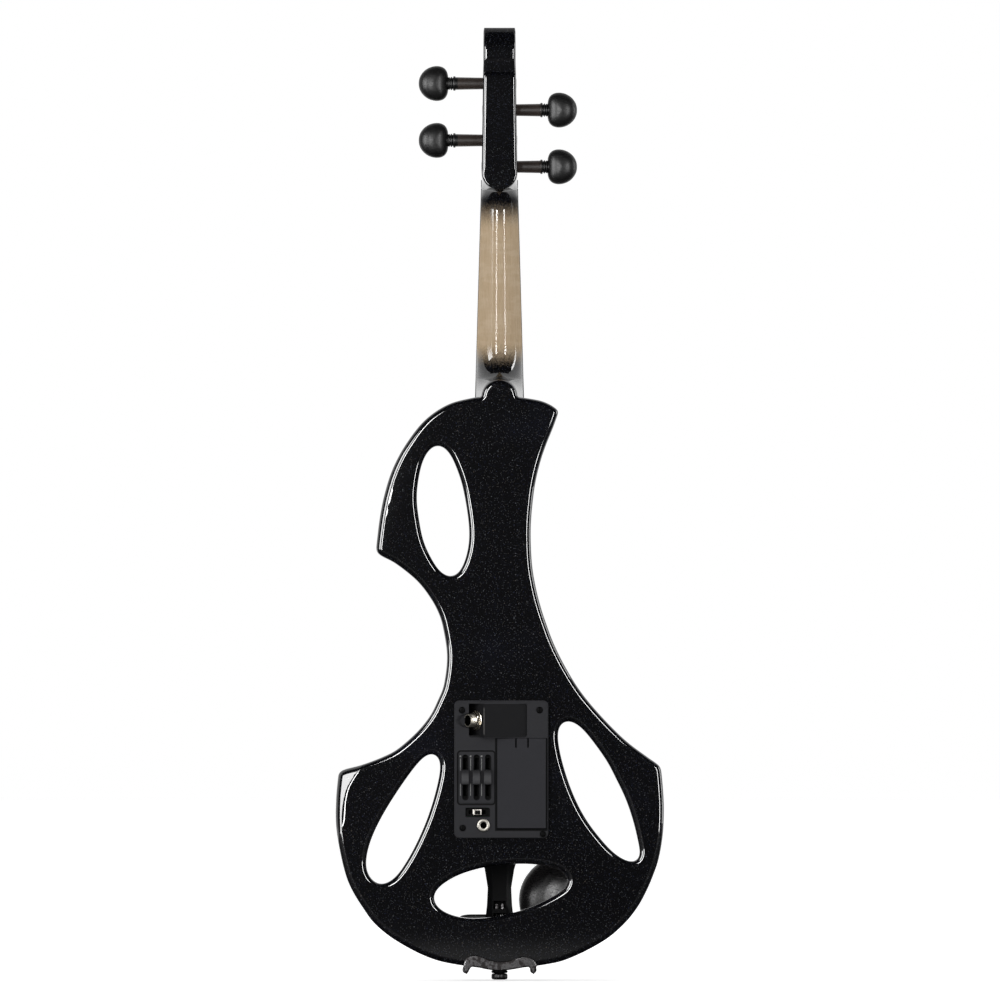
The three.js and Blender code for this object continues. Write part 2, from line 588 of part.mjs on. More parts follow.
for (const string of strings) {
  const windingRadius = pegShaftRadius(string, 0) + WINDING.seatGap + 2 * string.radius;
  const stubReach = Math.hypot(windingRadius, 2 * string.radius);
  const startX = string.side * (string.windingStart + WINDING.pitch * WINDING.loops);
  const start = vector(
    startX, -string.pegLift - stubReach - FIT_GAP - string.radius, string.pegZ,
  );
  const end = fromTail(string.tailX, 0, -BALL_BACK);
  const route = [
    start,
    vector(string.nutX, string.nutY, NUT_Z + NUT.length + string.radius),
    vector(string.nutX, string.nutY, NUT_Z),
    vector(string.bridgeX, string.bridgeY, BRIDGE_Z + BRIDGE.topThickness),
    vector(string.bridgeX, string.bridgeY, BRIDGE_Z),
    end,
  ];
  const ball = new THREE.SphereGeometry(BALL.radius, 8, 6);
  ball.translate(end.x, end.y, end.z);
  const wire = tube(route, string.radius, STRING_SIDES);
  addPiece(`string_${string.note}`, wire.add(toSolid(ball)), ...STEEL);
}

// Body: outline and four openings with rounded edges, then everything that is let into it

function bodyShape() {
  const outline = [
    ...curvePoints(upperLeftPixels, 2), photoPoint(tipPixels.upperLeft),
    ...curvePoints(waistLeftPixels, 1), photoPoint(tipPixels.lowerLeft),
    ...curvePoints(lowerPixels, 2), photoPoint(tipPixels.lowerRight),
    ...curvePoints(waistRightPixels, 1), photoPoint(tipPixels.upperRight),
    ...curvePoints(upperRightPixels, 2),
  ];
  return new THREE.Shape(outline);
}

// A cut through the body whose walls flare out into the rounded edges of an opening
function openingCut(pixels) {
  const shape = new THREE.Shape(closedPoints(pixels, 30));
  const geometry = new THREE.ExtrudeGeometry(shape, {
    depth: BODY.thickness - 2 * BODY.edge, bevelEnabled: true, bevelSegments: EDGE_STEPS,
    bevelThickness: BODY.edge + BODY.flareOver, bevelSize: -BODY.edge, bevelOffset: BODY.edge,
  });
  geometry.rotateX(Math.PI / 2);
  geometry.translate(0, BACK - BODY.edge, 0);
  return toSolid(geometry);
}

function buttonShape() {
  const shape = new THREE.Shape();
  const low = BODY_TOP - NECK.buttonHeight;
  shape.moveTo(-NECK.buttonHalfWidth, low);
  shape.lineTo(NECK.buttonHalfWidth, low);
  shape.lineTo(NECK.buttonHalfWidth, BODY_TOP);
  shape.absellipse(0, BODY_TOP, NECK.buttonHalfWidth, NECK.buttonHeight, 0, Math.PI);
  return shape;
}

const BUTTON_INNER = BACK - BODY.buttonThickness;
const screwPlaces = [
  [PANEL_LEFT - SCREW_INSET.highLeftX, PANEL_HIGH - SCREW_INSET.highLeftZ],
  [PANEL_RIGHT + SCREW_INSET.highRightX, PANEL_HIGH - SCREW_INSET.highRightZ],
  [PANEL_LEFT - SCREW_INSET.lowLeftX, PANEL_LOW + SCREW_INSET.lowLeftZ],
  [PANEL_RIGHT + SCREW_INSET.lowRightX, PANEL_LOW + SCREW_INSET.lowRightZ],
];

function cavityShape() {
  const left = BOARD.left + CAVITY.boardRoom;
  const right = COVER_RIGHT - CAVITY.wellRoom;
  const high = PANEL_HIGH - CAVITY.highEdge;
  const low = AUX_Z - AUX.bodyRadius - CAVITY.jackRoom;
  const lowRight = COVER_LOW - CAVITY.lowRoom;
  const step = COVER.left - CAVITY.stepInset;
  const highLand = PANEL_HIGH - CAVITY.highLand;
  const lowLand = BOARD_LOW - CAVITY.lowLandGap;
  const highLeft = PANEL_LEFT - CAVITY.highLeftLand;
  const highRight = PANEL_RIGHT + CAVITY.highRightLand;
  const lowLeft = PANEL_LEFT - CAVITY.lowLeftLand;
  return shapeOf([
    [left, highLand], [highLeft, highLand], [highLeft, high], [highRight, high],
    [highRight, highLand], [right, highLand], [right, lowRight], [step, lowRight], [step, low],
    [lowLeft, low], [lowLeft, lowLand], [left, lowLand],
  ]);
}

const CAVITY_FLOOR = BACK - CAVITY.depth;
const pickupX = PICKUP.offset;

function bodySolid() {
  let solid = slab(bodyShape(), BACK, BODY.thickness, BODY.edge);
  for (const pixels of openingPixels) solid = solid.subtract(openingCut(pixels));
  solid = solid.add(slab(buttonShape(), BACK, BODY.buttonThickness, BODY.buttonEdge));
  const mortiseHalf = boardHalfAt(BODY_TOP) - NECK.overhang + FIT_GAP;
  solid = solid.subtract(block(
    -mortiseHalf, mortiseHalf, FRONT - CUT_OVER, BUTTON_INNER,
    BODY_TOP - BODY.mortiseDepth - FIT_GAP, BODY_TOP + NECK.buttonHeight + CUT_OVER,
  ));
  solid = solid.subtract(slab(cavityShape(), BACK + CUT_OVER, CAVITY.depth + CUT_OVER));
  solid = solid.subtract(rod(
    vector(0, 0, BODY_BOTTOM - CUT_OVER), vector(0, 0, BODY_BOTTOM + BODY.buttonHole),
    END_BUTTON.shankRadius + FIT_GAP,
  ));
  for (const [x, z] of screwPlaces) {
    solid = solid.subtract(rod(
      vector(x, BACK + CUT_OVER, z), vector(x, BACK - PANEL_SCREW.length, z),
      PANEL_SCREW.shankRadius + FIT_GAP, PANEL_SCREW.shankRadius + FIT_GAP, PANEL_SCREW.sides,
    ));
  }
  solid = solid.subtract(block(
    -SADDLE.halfWidth - FIT_GAP, SADDLE.halfWidth + FIT_GAP, FRONT - CUT_OVER,
    FRONT + SADDLE.depth + FIT_GAP, BODY_BOTTOM - CUT_OVER, SADDLE_HIGH + FIT_GAP,
  ));
  const recessHalf = PICKUP.width / 2 + FIT_GAP;
  const recessMiddle = BRIDGE_Z + BRIDGE.thickness / 2;
  solid = solid.subtract(block(
    pickupX - PICKUP.length / 2 - FIT_GAP, pickupX + PICKUP.length / 2 + FIT_GAP,
    FRONT - CUT_OVER, FRONT + PICKUP.recess, recessMiddle - recessHalf, recessMiddle + recessHalf,
  ));
  return solid.subtract(rod(
    vector(pickupX, FRONT, recessMiddle), vector(pickupX, CAVITY_FLOOR + CUT_OVER, recessMiddle),
    PICKUP.channelRadius,
  ));
}

addPiece('body', bodySolid(), ...LACQUER);

// Neck: heel, shaft, pegbox and head in one piece, built from cross sections along z

const arcPointCount = 8; // even: the middle point of the back lies on the middle line

// The section runs from the glued front face round the back. A roundness of 2 is a half ellipse
// and a larger one is boxier. The taper share narrows the section towards its back.
function neckSection({ z, front, back, half, taperShare, roundness }) {
  const ring = [];
  for (let i = 0; i <= arcPointCount; i += 1) {
    const angle = (Math.PI * i) / arcPointCount;
    const across = Math.sign(Math.cos(angle)) * Math.abs(Math.cos(angle)) ** (2 / roundness);
    const depth = Math.max(Math.sin(angle), 0) ** (2 / roundness);
    const cleanAcross = Math.abs(Math.cos(angle)) < 1e-9 ? 0 : across;
    const cleanDepth = i === 0 || i === arcPointCount ? 0 : depth;
    ring.push(vector(
      half * cleanAcross * (1 - taperShare * cleanDepth), front + (back - front) * cleanDepth, z,
    ));
  }
  return ring;
}

const concaveShare = (s) => 1 - Math.sqrt(Math.max(1 - s * s, 0));
const convexShare = (s) => Math.sqrt(Math.max(1 - (1 - s) * (1 - s), 0));
const lerp = THREE.MathUtils.lerp;

function neckSections() {
  const rows = [];
  const heelBack = BUTTON_INNER - FIT_GAP;
  const neckHalf = (z) => boardHalfAt(z) - NECK.overhang;
  const shaftTop = NUT_Z - NECK.chinDrop;
  const shaftLow = BODY_TOP + NECK.heelHeight;
  const shaftBack = (z) => {
    const share = THREE.MathUtils.clamp((z - shaftLow) / (shaftTop - shaftLow), 0, 1);
    return glueAt(z) + lerp(NECK.depthAtHeel, NECK.depthAtNut, share);
  };
  const heelTaper = (z, backHalf) => 1 - backHalf / neckHalf(z);

  // Heel, under the body's button
  const tenonEnd = BODY_TOP - BODY.mortiseDepth;
  for (const z of [tenonEnd, BODY_TOP]) {
    rows.push({
      z, front: glueAt(z), back: heelBack, half: neckHalf(z),
      taperShare: heelTaper(z, NECK.buttonHalfWidth - FIT_GAP), roundness: 7,
    });
  }
  for (const share of [0.45, 0.75, 0.92]) {
    const z = BODY_TOP + share * NECK.buttonHeight;
    const backHalf = NECK.buttonHalfWidth * Math.sqrt(1 - share * share);
    rows.push({
      z, front: glueAt(z), back: heelBack, half: neckHalf(z),
      taperShare: heelTaper(z, backHalf), roundness: lerp(7, 3, share),
    });
  }
  for (const share of [1, 0.94, 0.82, 0.64, 0.42, 0.2, 0]) {
    const z = lerp(shaftLow, BODY_TOP + NECK.buttonHeight, share);
    rows.push({
      z, front: glueAt(z), back: lerp(shaftBack(z), heelBack, concaveShare(share)),
      half: neckHalf(z), taperShare: 0.9 * concaveShare(share), roundness: lerp(2, 2.6, share),
    });
  }

  // Shaft, and the chin where the pegbox begins
  const chinEnd = NUT_Z - NECK.chinStart;
  for (const share of [0, 0.3, 0.55, 0.75, 0.9, 0.98]) {
    const z = lerp(shaftTop, chinEnd, share);
    rows.push({
      z, front: glueAt(z), back: lerp(shaftBack(z), PEGBOX.back, concaveShare(share)),
      half: neckHalf(z), taperShare: 0.9 * concaveShare(share), roundness: 2,
    });
  }
  const cheekLift = (z) => {
    const low = NUT_Z + PEGBOX.cheekStart;
    const high = NUT_Z + PEGBOX.creaseHeight;
    return lerp(PEGBOX.cheekLiftLow, PEGBOX.cheekLiftHigh, (z - low) / (high - low));
  };
  for (const share of [0.06, 0.25, 0.5]) {
    const z = lerp(chinEnd, NUT_Z + NECK.chinRise, share);
    rows.push({
      z, front: glueAt(z), back: PEGBOX.back, half: lerp(neckHalf(z), PEGBOX.lowHalfWidth, share),
      taperShare: 1 - (PEGBOX.chinHalfWidth * convexShare(share)) / PEGBOX.lowHalfWidth,
      roundness: 8,
    });
  }
  rows.push({
    z: NUT_Z + NUT.length + FIT_GAP, front: glueAt(NUT_Z), back: PEGBOX.back,
    half: PEGBOX.lowHalfWidth, taperShare: 0.09, roundness: 9,
  });

  // Pegbox
  const pegboxRow = (height, back) => {
    const z = NUT_Z + height;
    return {
      z, front: -cheekLift(z), back, half: pegboxHalfAt(z), taperShare: 0.02, roundness: 10,
    };
  };
  rows.push(pegboxRow(PEGBOX.cheekStart, PEGBOX.back));
  rows.push(pegboxRow(NECK.chinRise, PEGBOX.back));
  rows.push(pegboxRow(PEGBOX.creaseHeight / 2, PEGBOX.backMiddle));
  rows.push(pegboxRow(PEGBOX.creaseHeight - PEGBOX.creaseLength, PEGBOX.backMiddle));
  rows.push(pegboxRow(PEGBOX.creaseHeight, PEGBOX.creaseBack));

  // Head, a rounded block
  const headMiddle = HEAD.top - HEAD.halfHeight;
  for (const degrees of [-20, 0, 25, 45, 62, 76, 86]) {
    const angle = THREE.MathUtils.degToRad(degrees);
    const halfDepth = HEAD.halfDepth * Math.cos(angle);
    const narrowing = Math.max(Math.sin(angle), 0) ** 6;
    rows.push({
      z: NUT_Z + headMiddle + HEAD.halfHeight * Math.sin(angle),
      front: -HEAD.middleLift - halfDepth, back: -HEAD.middleLift + halfDepth,
      half: lerp(HEAD.halfWidth, HEAD.topHalfWidth, narrowing), taperShare: 0.02, roundness: 10,
    });
  }
  return rows;
}

function neckSolid() {
  let solid = loft(neckSections().map(neckSection));
  const [troughLow, troughHigh] = [NUT_Z + PEGBOX.troughStart, NUT_Z + PEGBOX.troughEnd];
  const troughBack = PEGBOX.back - PEGBOX.backWall;
  solid = solid.subtract(slab(shapeOf([
    [-PEGBOX.troughLowHalf, troughLow], [PEGBOX.troughLowHalf, troughLow],
    [PEGBOX.troughHighHalf, troughHigh], [-PEGBOX.troughHighHalf, troughHigh],
  ]), troughBack, troughBack + PEGBOX.cheekLiftLow + CUT_OVER));
  for (const string of strings) {
    const reach = PEGBOX.lowHalfWidth + CUT_OVER;
    solid = solid.subtract(rod(
      vector(-string.side * reach, -string.pegLift, string.pegZ),
      vector(string.side * reach, -string.pegLift, string.pegZ),
      pegShaftRadius(string, -reach) + RUN_GAP, pegShaftRadius(string, reach) + RUN_GAP,
    ));
  }
  return solid;
}

addPiece('neck', neckSolid(), ...MAPLE);

// Fingerboard: flat under, crowned over

function boardSection(z) {
  const half = boardHalfAt(z);
  const under = glueAt(z) - FIT_GAP;
  const edge = under - FINGERBOARD.edgeThickness;
  const rise = crownDrop(FINGERBOARD.crownRadius, half);
  const ring = [vector(half, under, z), vector(-half, under, z)];
  const steps = 8;
  for (let i = 0; i <= steps; i += 1) {
    const x = lerp(-half, half, i / steps);
    ring.push(vector(x, edge - rise + crownDrop(FINGERBOARD.crownRadius, x), z));
  }
  return ring;
}

addPiece('fingerboard', loft([
  boardSection(BOARD_END_Z), boardSection(lerp(BOARD_END_Z, NUT_Z, 0.5)),
  boardSection(NUT_Z - FIT_GAP),
]), ...EBONY);

// Nut: crowned top with a groove for each string

function groovedTop(topAt, half, grooves, depth, grooveHalf, steps) {
  const points = [];
  for (let i = 0; i <= steps; i += 1) {
    const x = lerp(half, -half, i / steps);
    const near = grooves.some((g) => Math.abs(g - x) < 2 * grooveHalf);
    if (!near) points.push([x, topAt(x)]);
  }
  for (const g of grooves) {
    points.push([g + grooveHalf, topAt(g + grooveHalf)]);
    points.push([g, topAt(g) + depth]);
    points.push([g - grooveHalf, topAt(g - grooveHalf)]);
  }
  return points.sort((a, b) => b[0] - a[0]);
}

const nutGrooves = strings.map((s) => s.nutX);
addPiece('nut', profileAlongZ(shapeOf([
  [-FINGERBOARD.nutHalfWidth, glueAt(NUT_Z) - FIT_GAP],
  [FINGERBOARD.nutHalfWidth, glueAt(NUT_Z) - FIT_GAP],
  ...groovedTop(
    nutTop, FINGERBOARD.nutHalfWidth, nutGrooves, NUT.grooveDepth, NUT.grooveHalfWidth, 6,
  ),
]), NUT_Z, NUT_Z + NUT.length), ...EBONY);

// Saddle, let into the lower edge under the tailgut

function saddleShape() {
  const shape = new THREE.Shape();
  const top = FRONT - SADDLE.standout;
  const bottom = FRONT + SADDLE.depth;
  shape.moveTo(bottom, SADDLE_LOW);
  shape.lineTo(bottom, SADDLE_HIGH);
  shape.lineTo(top + SADDLE.round, SADDLE_HIGH);
  shape.quadraticCurveTo(top, SADDLE_HIGH, top, SADDLE_HIGH - SADDLE.round);
  shape.lineTo(top, SADDLE_LOW + SADDLE.round);
  shape.quadraticCurveTo(top, SADDLE_LOW, top + SADDLE.round, SADDLE_LOW);
  return shape;
}

addPiece('saddle', profileAlongX(saddleShape(), -SADDLE.halfWidth, SADDLE.halfWidth), ...EBONY);

addPiece('end_button', turned([
  [0, 0], [END_BUTTON.faceRadius, 0], [END_BUTTON.radius, END_BUTTON.lip],
  [END_BUTTON.radius, END_BUTTON.rimTop], [END_BUTTON.grooveRadius, END_BUTTON.grooveStart],
  [END_BUTTON.grooveRadius, END_BUTTON.grooveEnd],
  [END_BUTTON.shankRadius, END_BUTTON.standout], [END_BUTTON.shankTipRadius, END_BUTTON.length],
  [0, END_BUTTON.length],
], vector(0, 0, 0), vector(0, 0, 1)), ...EBONY);

// Bridge: two feet, a waist, a heart and two kidney holes, thinner towards the top

const bridgeSideShares = [
  [0.46, 0], [1, 0], [1, 0.066], [0.85, 0.12], [0.69, 0.22], [0.7, 0.33], [0.85, 0.45],
  [0.985, 0.59], [1, 0.71],
];

function bridgeShape() {
  const foot = FRONT - FIT_GAP;
  const side = bridgeSideShares.map(([u, v]) => [
    u * BRIDGE.halfWidth, foot - v * BRIDGE.height,
  ]);
  const topHalf = 0.9 * BRIDGE.halfWidth;
  const top = groovedTop(
    bridgeTop, topHalf, strings.map((s) => s.bridgeX), BRIDGE.grooveDepth, BRIDGE.grooveHalfWidth, 10,
  );
  const archHalf = bridgeSideShares[0][0] * BRIDGE.halfWidth;
  const arch = [[-0.7, 0.13], [0, 0.2], [0.7, 0.13]].map(([u, v]) => [
    u * archHalf, foot - v * BRIDGE.height,
  ]);
  const otherSide = side.map(([x, y]) => [-x, y]).reverse();
  const shape = shapeOf([...side, ...top, ...otherSide, ...arch]);
  for (const [u, v] of [[0, 0.52], [0.5, 0.53], [-0.5, 0.53]]) {
    const hole = new THREE.Path();
    hole.absellipse(
      u * BRIDGE.halfWidth, foot - v * BRIDGE.height, BRIDGE.holeRadius, 1.3 * BRIDGE.holeRadius,
      0, 2 * Math.PI,
    );
    shape.holes.push(new THREE.Path(hole.getPoints(3)));
  }
  return shape;
}

function bridgeSolid() {
  const geometry = new THREE.ExtrudeGeometry(bridgeShape(), {
    depth: BRIDGE.thickness, bevelEnabled: false,
  });
  const place = geometry.attributes.position;
  const thinning = (BRIDGE.thickness - BRIDGE.topThickness) / BRIDGE.height;
  for (let i = 0; i < place.count; i += 1) {
    const rise = FRONT - FIT_GAP - place.getY(i);
    if (place.getZ(i) > 0) place.setZ(i, BRIDGE.thickness - thinning * rise);
  }
  geometry.translate(0, 0, BRIDGE_Z);
  return toSolid(geometry);
}

addPiece('bridge', bridgeSolid(), ...BRIDGE_MAPLE);

// Pickup strip under the treble foot, with its moulded lead down to the circuit board

function pickupSolid() {
  const middle = BRIDGE_Z + BRIDGE.thickness / 2;
  const seat = FRONT + PICKUP.recess - FIT_GAP;
  const strip = block(
    pickupX - PICKUP.length / 2, pickupX + PICKUP.length / 2, seat - PICKUP.thickness, seat,
    middle - PICKUP.width / 2, middle + PICKUP.width / 2,
  );
  const floor = -PICKUP.sag;
  const low = BOARD_HIGH - PICKUP.landing;
  const boardFace = BOARD.back - BOARD.thickness - FIT_GAP;
  const lead = tube([
    vector(pickupX, seat - PICKUP.thickness / 2, middle),
    vector(pickupX, floor - PICKUP.bend, middle),
    vector(pickupX, floor, middle - PICKUP.bend),
    vector(pickupX, floor, low + PICKUP.bend),
    vector(pickupX, floor + PICKUP.bend, low),
    vector(pickupX, boardFace, low),
  ], PICKUP.leadRadius);
  return strip.add(lead);
}

addPiece('bridge_pickup', pickupSolid(), ...NYLON);

// Tailpiece with its built-in fine tuners, in the turned frame: z = 0 is its top end

// Rows: distance from the top end as a share of the length, half width and half width of the flat
// strip under it as shares of the half width, top face and underside as shares of the depth
const tailShares = [
  { along: 0, half: 0.979, strip: 0.763, top: 0.1875, under: 1 },
  { along: 0.07, half: 1, strip: 0.763, top: 0.1875, under: 1 },
  { along: 0.2, half: 0.926, strip: 0.658, top: 0.167, under: 0.958 },
  { along: 0.34, half: 0.684, strip: 0.4, top: 0.104, under: 0.875 },
  { along: 0.47, half: 0.484, strip: 0.263, top: 0.042, under: 0.792 },
  { along: 0.59, half: 0.384, strip: 0.229, top: -0.042, under: 0.6875 },
  { along: 0.7, half: 0.411, strip: 0.229, top: -0.125, under: 0.625 },
  { along: 0.84, half: 0.495, strip: 0.242, top: -0.229, under: 0.479 },
  { along: 0.95, half: 0.526, strip: 0.263, top: -0.292, under: 0.375 },
  { along: 1, half: 0.442, strip: 0.263, top: -0.271, under: 0.354 },
];

function tailSection(share) {
  const z = -share.along * TAILPIECE.length;
  const half = share.half * TAILPIECE.halfWidth;
  const strip = share.strip * TAILPIECE.halfWidth;
  const top = share.top * TAILPIECE.depth;
  const under = share.under * TAILPIECE.depth;
  const depth = under - top;
  const outer = [
    [strip, under], [half, under - 0.42 * depth], [half, top + 0.3 * depth],
    [0.72 * half, top + 0.1 * depth], [0.36 * half, top + 0.02 * depth],
  ];
  const mirrored = outer.map(([x, y]) => [-x, y]).reverse();
  return [...outer, [0, top], ...mirrored].map(([x, y]) => vector(x, y, z));
}

function tailpieceSolid() {
  let solid = loft(tailShares.map(tailSection));
  const far = TAILPIECE.length + CUT_OVER;
  const deep = PIVOT.depth + TAILPIECE.roof + CUT_OVER;
  for (const { tailX } of strings) {
    const [x0, x1] = [tailX - TAILPIECE.slotHalfWidth, tailX + TAILPIECE.slotHalfWidth];
    solid = solid.subtract(block(x0, x1, -CUT_OVER, deep, -TAILPIECE.slotDepth, CUT_OVER));
    solid = solid.subtract(block(
      x0, x1, tailShares[0].top * TAILPIECE.depth + TAILPIECE.roof, deep, -TAILPIECE.channelDepth, 0,
    ));
    solid = solid.subtract(rod(
      vector(tailX, -CUT_OVER, -TUNER.setback), vector(tailX, deep, -TUNER.setback),
      TUNER.stemRadius + RUN_GAP,
    ));
  }
  const pinReach = TAILPIECE.halfWidth + CUT_OVER;
  solid = solid.subtract(rod(
    vector(-pinReach, PIVOT.depth, -PIVOT.setback), vector(pinReach, PIVOT.depth, -PIVOT.setback),
    PIVOT.radius + RUN_GAP,
  ));
  const room = TAILPIECE.tailRoomHalfWidth;
  solid = solid.subtract(block(
    -room, room, TAILPIECE.tailRoom, deep, -TAILPIECE.pocketEnd, -TAILPIECE.pocketStart,
  ));
  solid = solid.subtract(block(-room, room, TAILPIECE.tailRoom, deep, -far, -TAILPIECE.wallEnd));
  for (const x of [-TAILGUT.halfSpread, TAILGUT.halfSpread]) {
    solid = solid.subtract(rod(
      vector(x, TAILGUT.depth, -TAILPIECE.wallEnd - CUT_OVER),
      vector(x, TAILGUT.depth, -TAILPIECE.pocketEnd + CUT_OVER), TAILGUT.radius + FIT_GAP,
    ));
  }
  return solid;
}

addPiece('tailpiece', tailpieceSolid(), ...BLACK_PLASTIC, tail);

addPiece('tuner_pivot_pin', rod(
  vector(-PIVOT.halfLength, PIVOT.depth, -PIVOT.setback),
  vector(PIVOT.halfLength, PIVOT.depth, -PIVOT.setback), PIVOT.radius,
), ...STEEL, tail);

const ARM_TOP = PIVOT.depth + LEVER.armDrop;

function leverSolid(x) {
  const [x0, x1] = [x - LEVER.halfWidth, x + LEVER.halfWidth];
  const hub = rod(
    vector(x0, PIVOT.depth, -PIVOT.setback), vector(x1, PIVOT.depth, -PIVOT.setback), LEVER.hub,
    LEVER.hub, LEVER.hubSides,
  );
  const arm = block(
    x0, x1, ARM_TOP, ARM_TOP + LEVER.armThickness, -PIVOT.setback - LEVER.armLength, -PIVOT.setback,
  );
  const finger = block(
    x0, x1, -LEVER.fingerRise, PIVOT.depth, -PIVOT.setback - LEVER.fingerHalf,
    -PIVOT.setback + LEVER.fingerHalf,
  );
  const notch = block(
    x - LEVER.notchHalfWidth, x + LEVER.notchHalfWidth, -LEVER.fingerRise - CUT_OVER,
    LEVER.notchDepth, -PIVOT.setback - LEVER.hub, -PIVOT.setback + LEVER.hub,
  );
  const bore = rod(
    vector(x0 - CUT_OVER, PIVOT.depth, -PIVOT.setback),
    vector(x1 + CUT_OVER, PIVOT.depth, -PIVOT.setback), PIVOT.radius + RUN_GAP,
  );
  return hub.add(arm).add(finger).subtract(notch).subtract(bore);
}

function knobShape(x) {
  const points = [];
  for (let i = 0; i < 2 * TUNER.knurls; i += 1) {
    const angle = (Math.PI * i) / TUNER.knurls;
    const radius = TUNER.knobRadius - (i % 2 ? TUNER.knurlDepth : 0);
    points.push([x + radius * Math.cos(angle), -TUNER.setback + radius * Math.sin(angle)]);
  }
  return shapeOf(points);
}

for (const { note, tailX } of strings) {
  const at = (y) => vector(tailX, y, -TUNER.setback);
  const knob = slab(knobShape(tailX), -TUNER.knobLift, TUNER.knobHeight, TUNER.knobEdge, 1);
  const socket = rod(
    at(-TUNER.knobLift + CUT_OVER), at(-TUNER.knobLift - TUNER.socket),
    TUNER.stemRadius + RUN_GAP,
  );
  addPiece(`tuner_knob_${note}`, knob.subtract(socket), ...NICKEL, tail);
  addPiece(`tuner_stem_${note}`, rod(
    at(-TUNER.knobLift - TUNER.socket + FIT_GAP), at(ARM_TOP - TUNER.tipGap), TUNER.stemRadius,
  ), ...STEEL, tail);
  addPiece(`tuner_lever_${note}`, leverSolid(tailX), ...STEEL, tail);
}

// Tailgut: from nut to nut, through the tailpiece, over the saddle and round the end button

function tailgutPoints() {
  const startZ = -TAILPIECE.pocketStart - FIT_GAP - TAILGUT.radius;
  const loopRadius = END_BUTTON.grooveRadius + FIT_GAP + TAILGUT.radius;
  const bend = SADDLE.round + FIT_GAP + TAILGUT.radius;
  const roundSaddle = (degrees, z) => {
    const angle = THREE.MathUtils.degToRad(degrees);
    const y = FRONT - SADDLE.standout + SADDLE.round;
    return vector(TAILGUT.halfSpread, y - bend * Math.cos(angle), z - bend * Math.sin(angle));
  };
  const half = [
    fromTail(TAILGUT.halfSpread, TAILGUT.depth, startZ),
    fromTail(TAILGUT.halfSpread, TAILGUT.depth, -TAILPIECE.length - TAILPIECE.gutRun),
    roundSaddle(0, SADDLE_HIGH - SADDLE.round),
    roundSaddle(0, SADDLE_LOW + SADDLE.round),
    roundSaddle(45, SADDLE_LOW + SADDLE.round),
    roundSaddle(90, SADDLE_LOW + SADDLE.round),
    vector(lerp(TAILGUT.halfSpread, loopRadius, 0.3), FRONT + SADDLE.depth / 2, TAILGUT.loopHeight),
    vector(loopRadius, -loopRadius, TAILGUT.loopHeight),
  ];
  const points = [...half];
  const steps = 10;
  for (let i = 0; i <= steps; i += 1) {
    const angle = (Math.PI * i) / steps;
    points.push(vector(
      loopRadius * Math.cos(angle), loopRadius * Math.sin(angle), TAILGUT.loopHeight,
    ));
  }
  return [...points, ...half.map((p) => vector(-p.x, p.y, p.z)).reverse()];
}

addPiece('tailgut', tube(tailgutPoints(), TAILGUT.radius, STRING_SIDES), ...NYLON);

for (const [side, sign] of [['bass', -1], ['treble', 1]]) {
  const x = sign * TAILGUT.halfSpread;
  const low = -TAILPIECE.pocketEnd + FIT_GAP;
  const outer = rod(
    vector(x, TAILGUT.depth, low), vector(x, TAILGUT.depth, low + TAILGUT_NUT.length),
    TAILGUT_NUT.radius,
  );
  const bore = rod(
    vector(x, TAILGUT.depth, low - CUT_OVER),
    vector(x, TAILGUT.depth, low + TAILGUT_NUT.length + CUT_OVER), TAILGUT.radius + FIT_GAP,
  );
  addPiece(`tailgut_nut_${side}`, outer.subtract(bore), ...NICKEL, tail);
}

// Chin rest: a plate over the tailpiece on two feet, with the cup on the bass side

function cupSolid() {
  const ring = (halfX, halfZ, y) => {
    const points = [];
    for (let i = 0; i < CUP.sides; i += 1) {
      const angle = (2 * Math.PI * i) / CUP.sides;
      points.push(vector(
        -CUP.across + halfX * Math.cos(angle), y, CUP.height + halfZ * Math.sin(angle),
      ));
    }
    return points;
  };
  const rings = [];
  for (const share of [0.4, 0.7, 0.9, 1]) {
    const y = lerp(-CUP.bottomLift, -CUP.rimLift, concaveShare(share));
    rings.push(ring(share * CUP.halfWidth, share * CUP.halfHeight, y));
  }
  const wallX = CUP.halfWidth - CUP.wall;
  const wallZ = CUP.halfHeight - CUP.wall;
  for (const share of [1, 0.85, 0.6, 0.3]) {
    const y = lerp(-CUP.bottomLift - CUP.wall, -CUP.rimLift, concaveShare(share));
    rings.push(ring(share * wallX, share * wallZ, y));
  }
  return loft(rings);
}

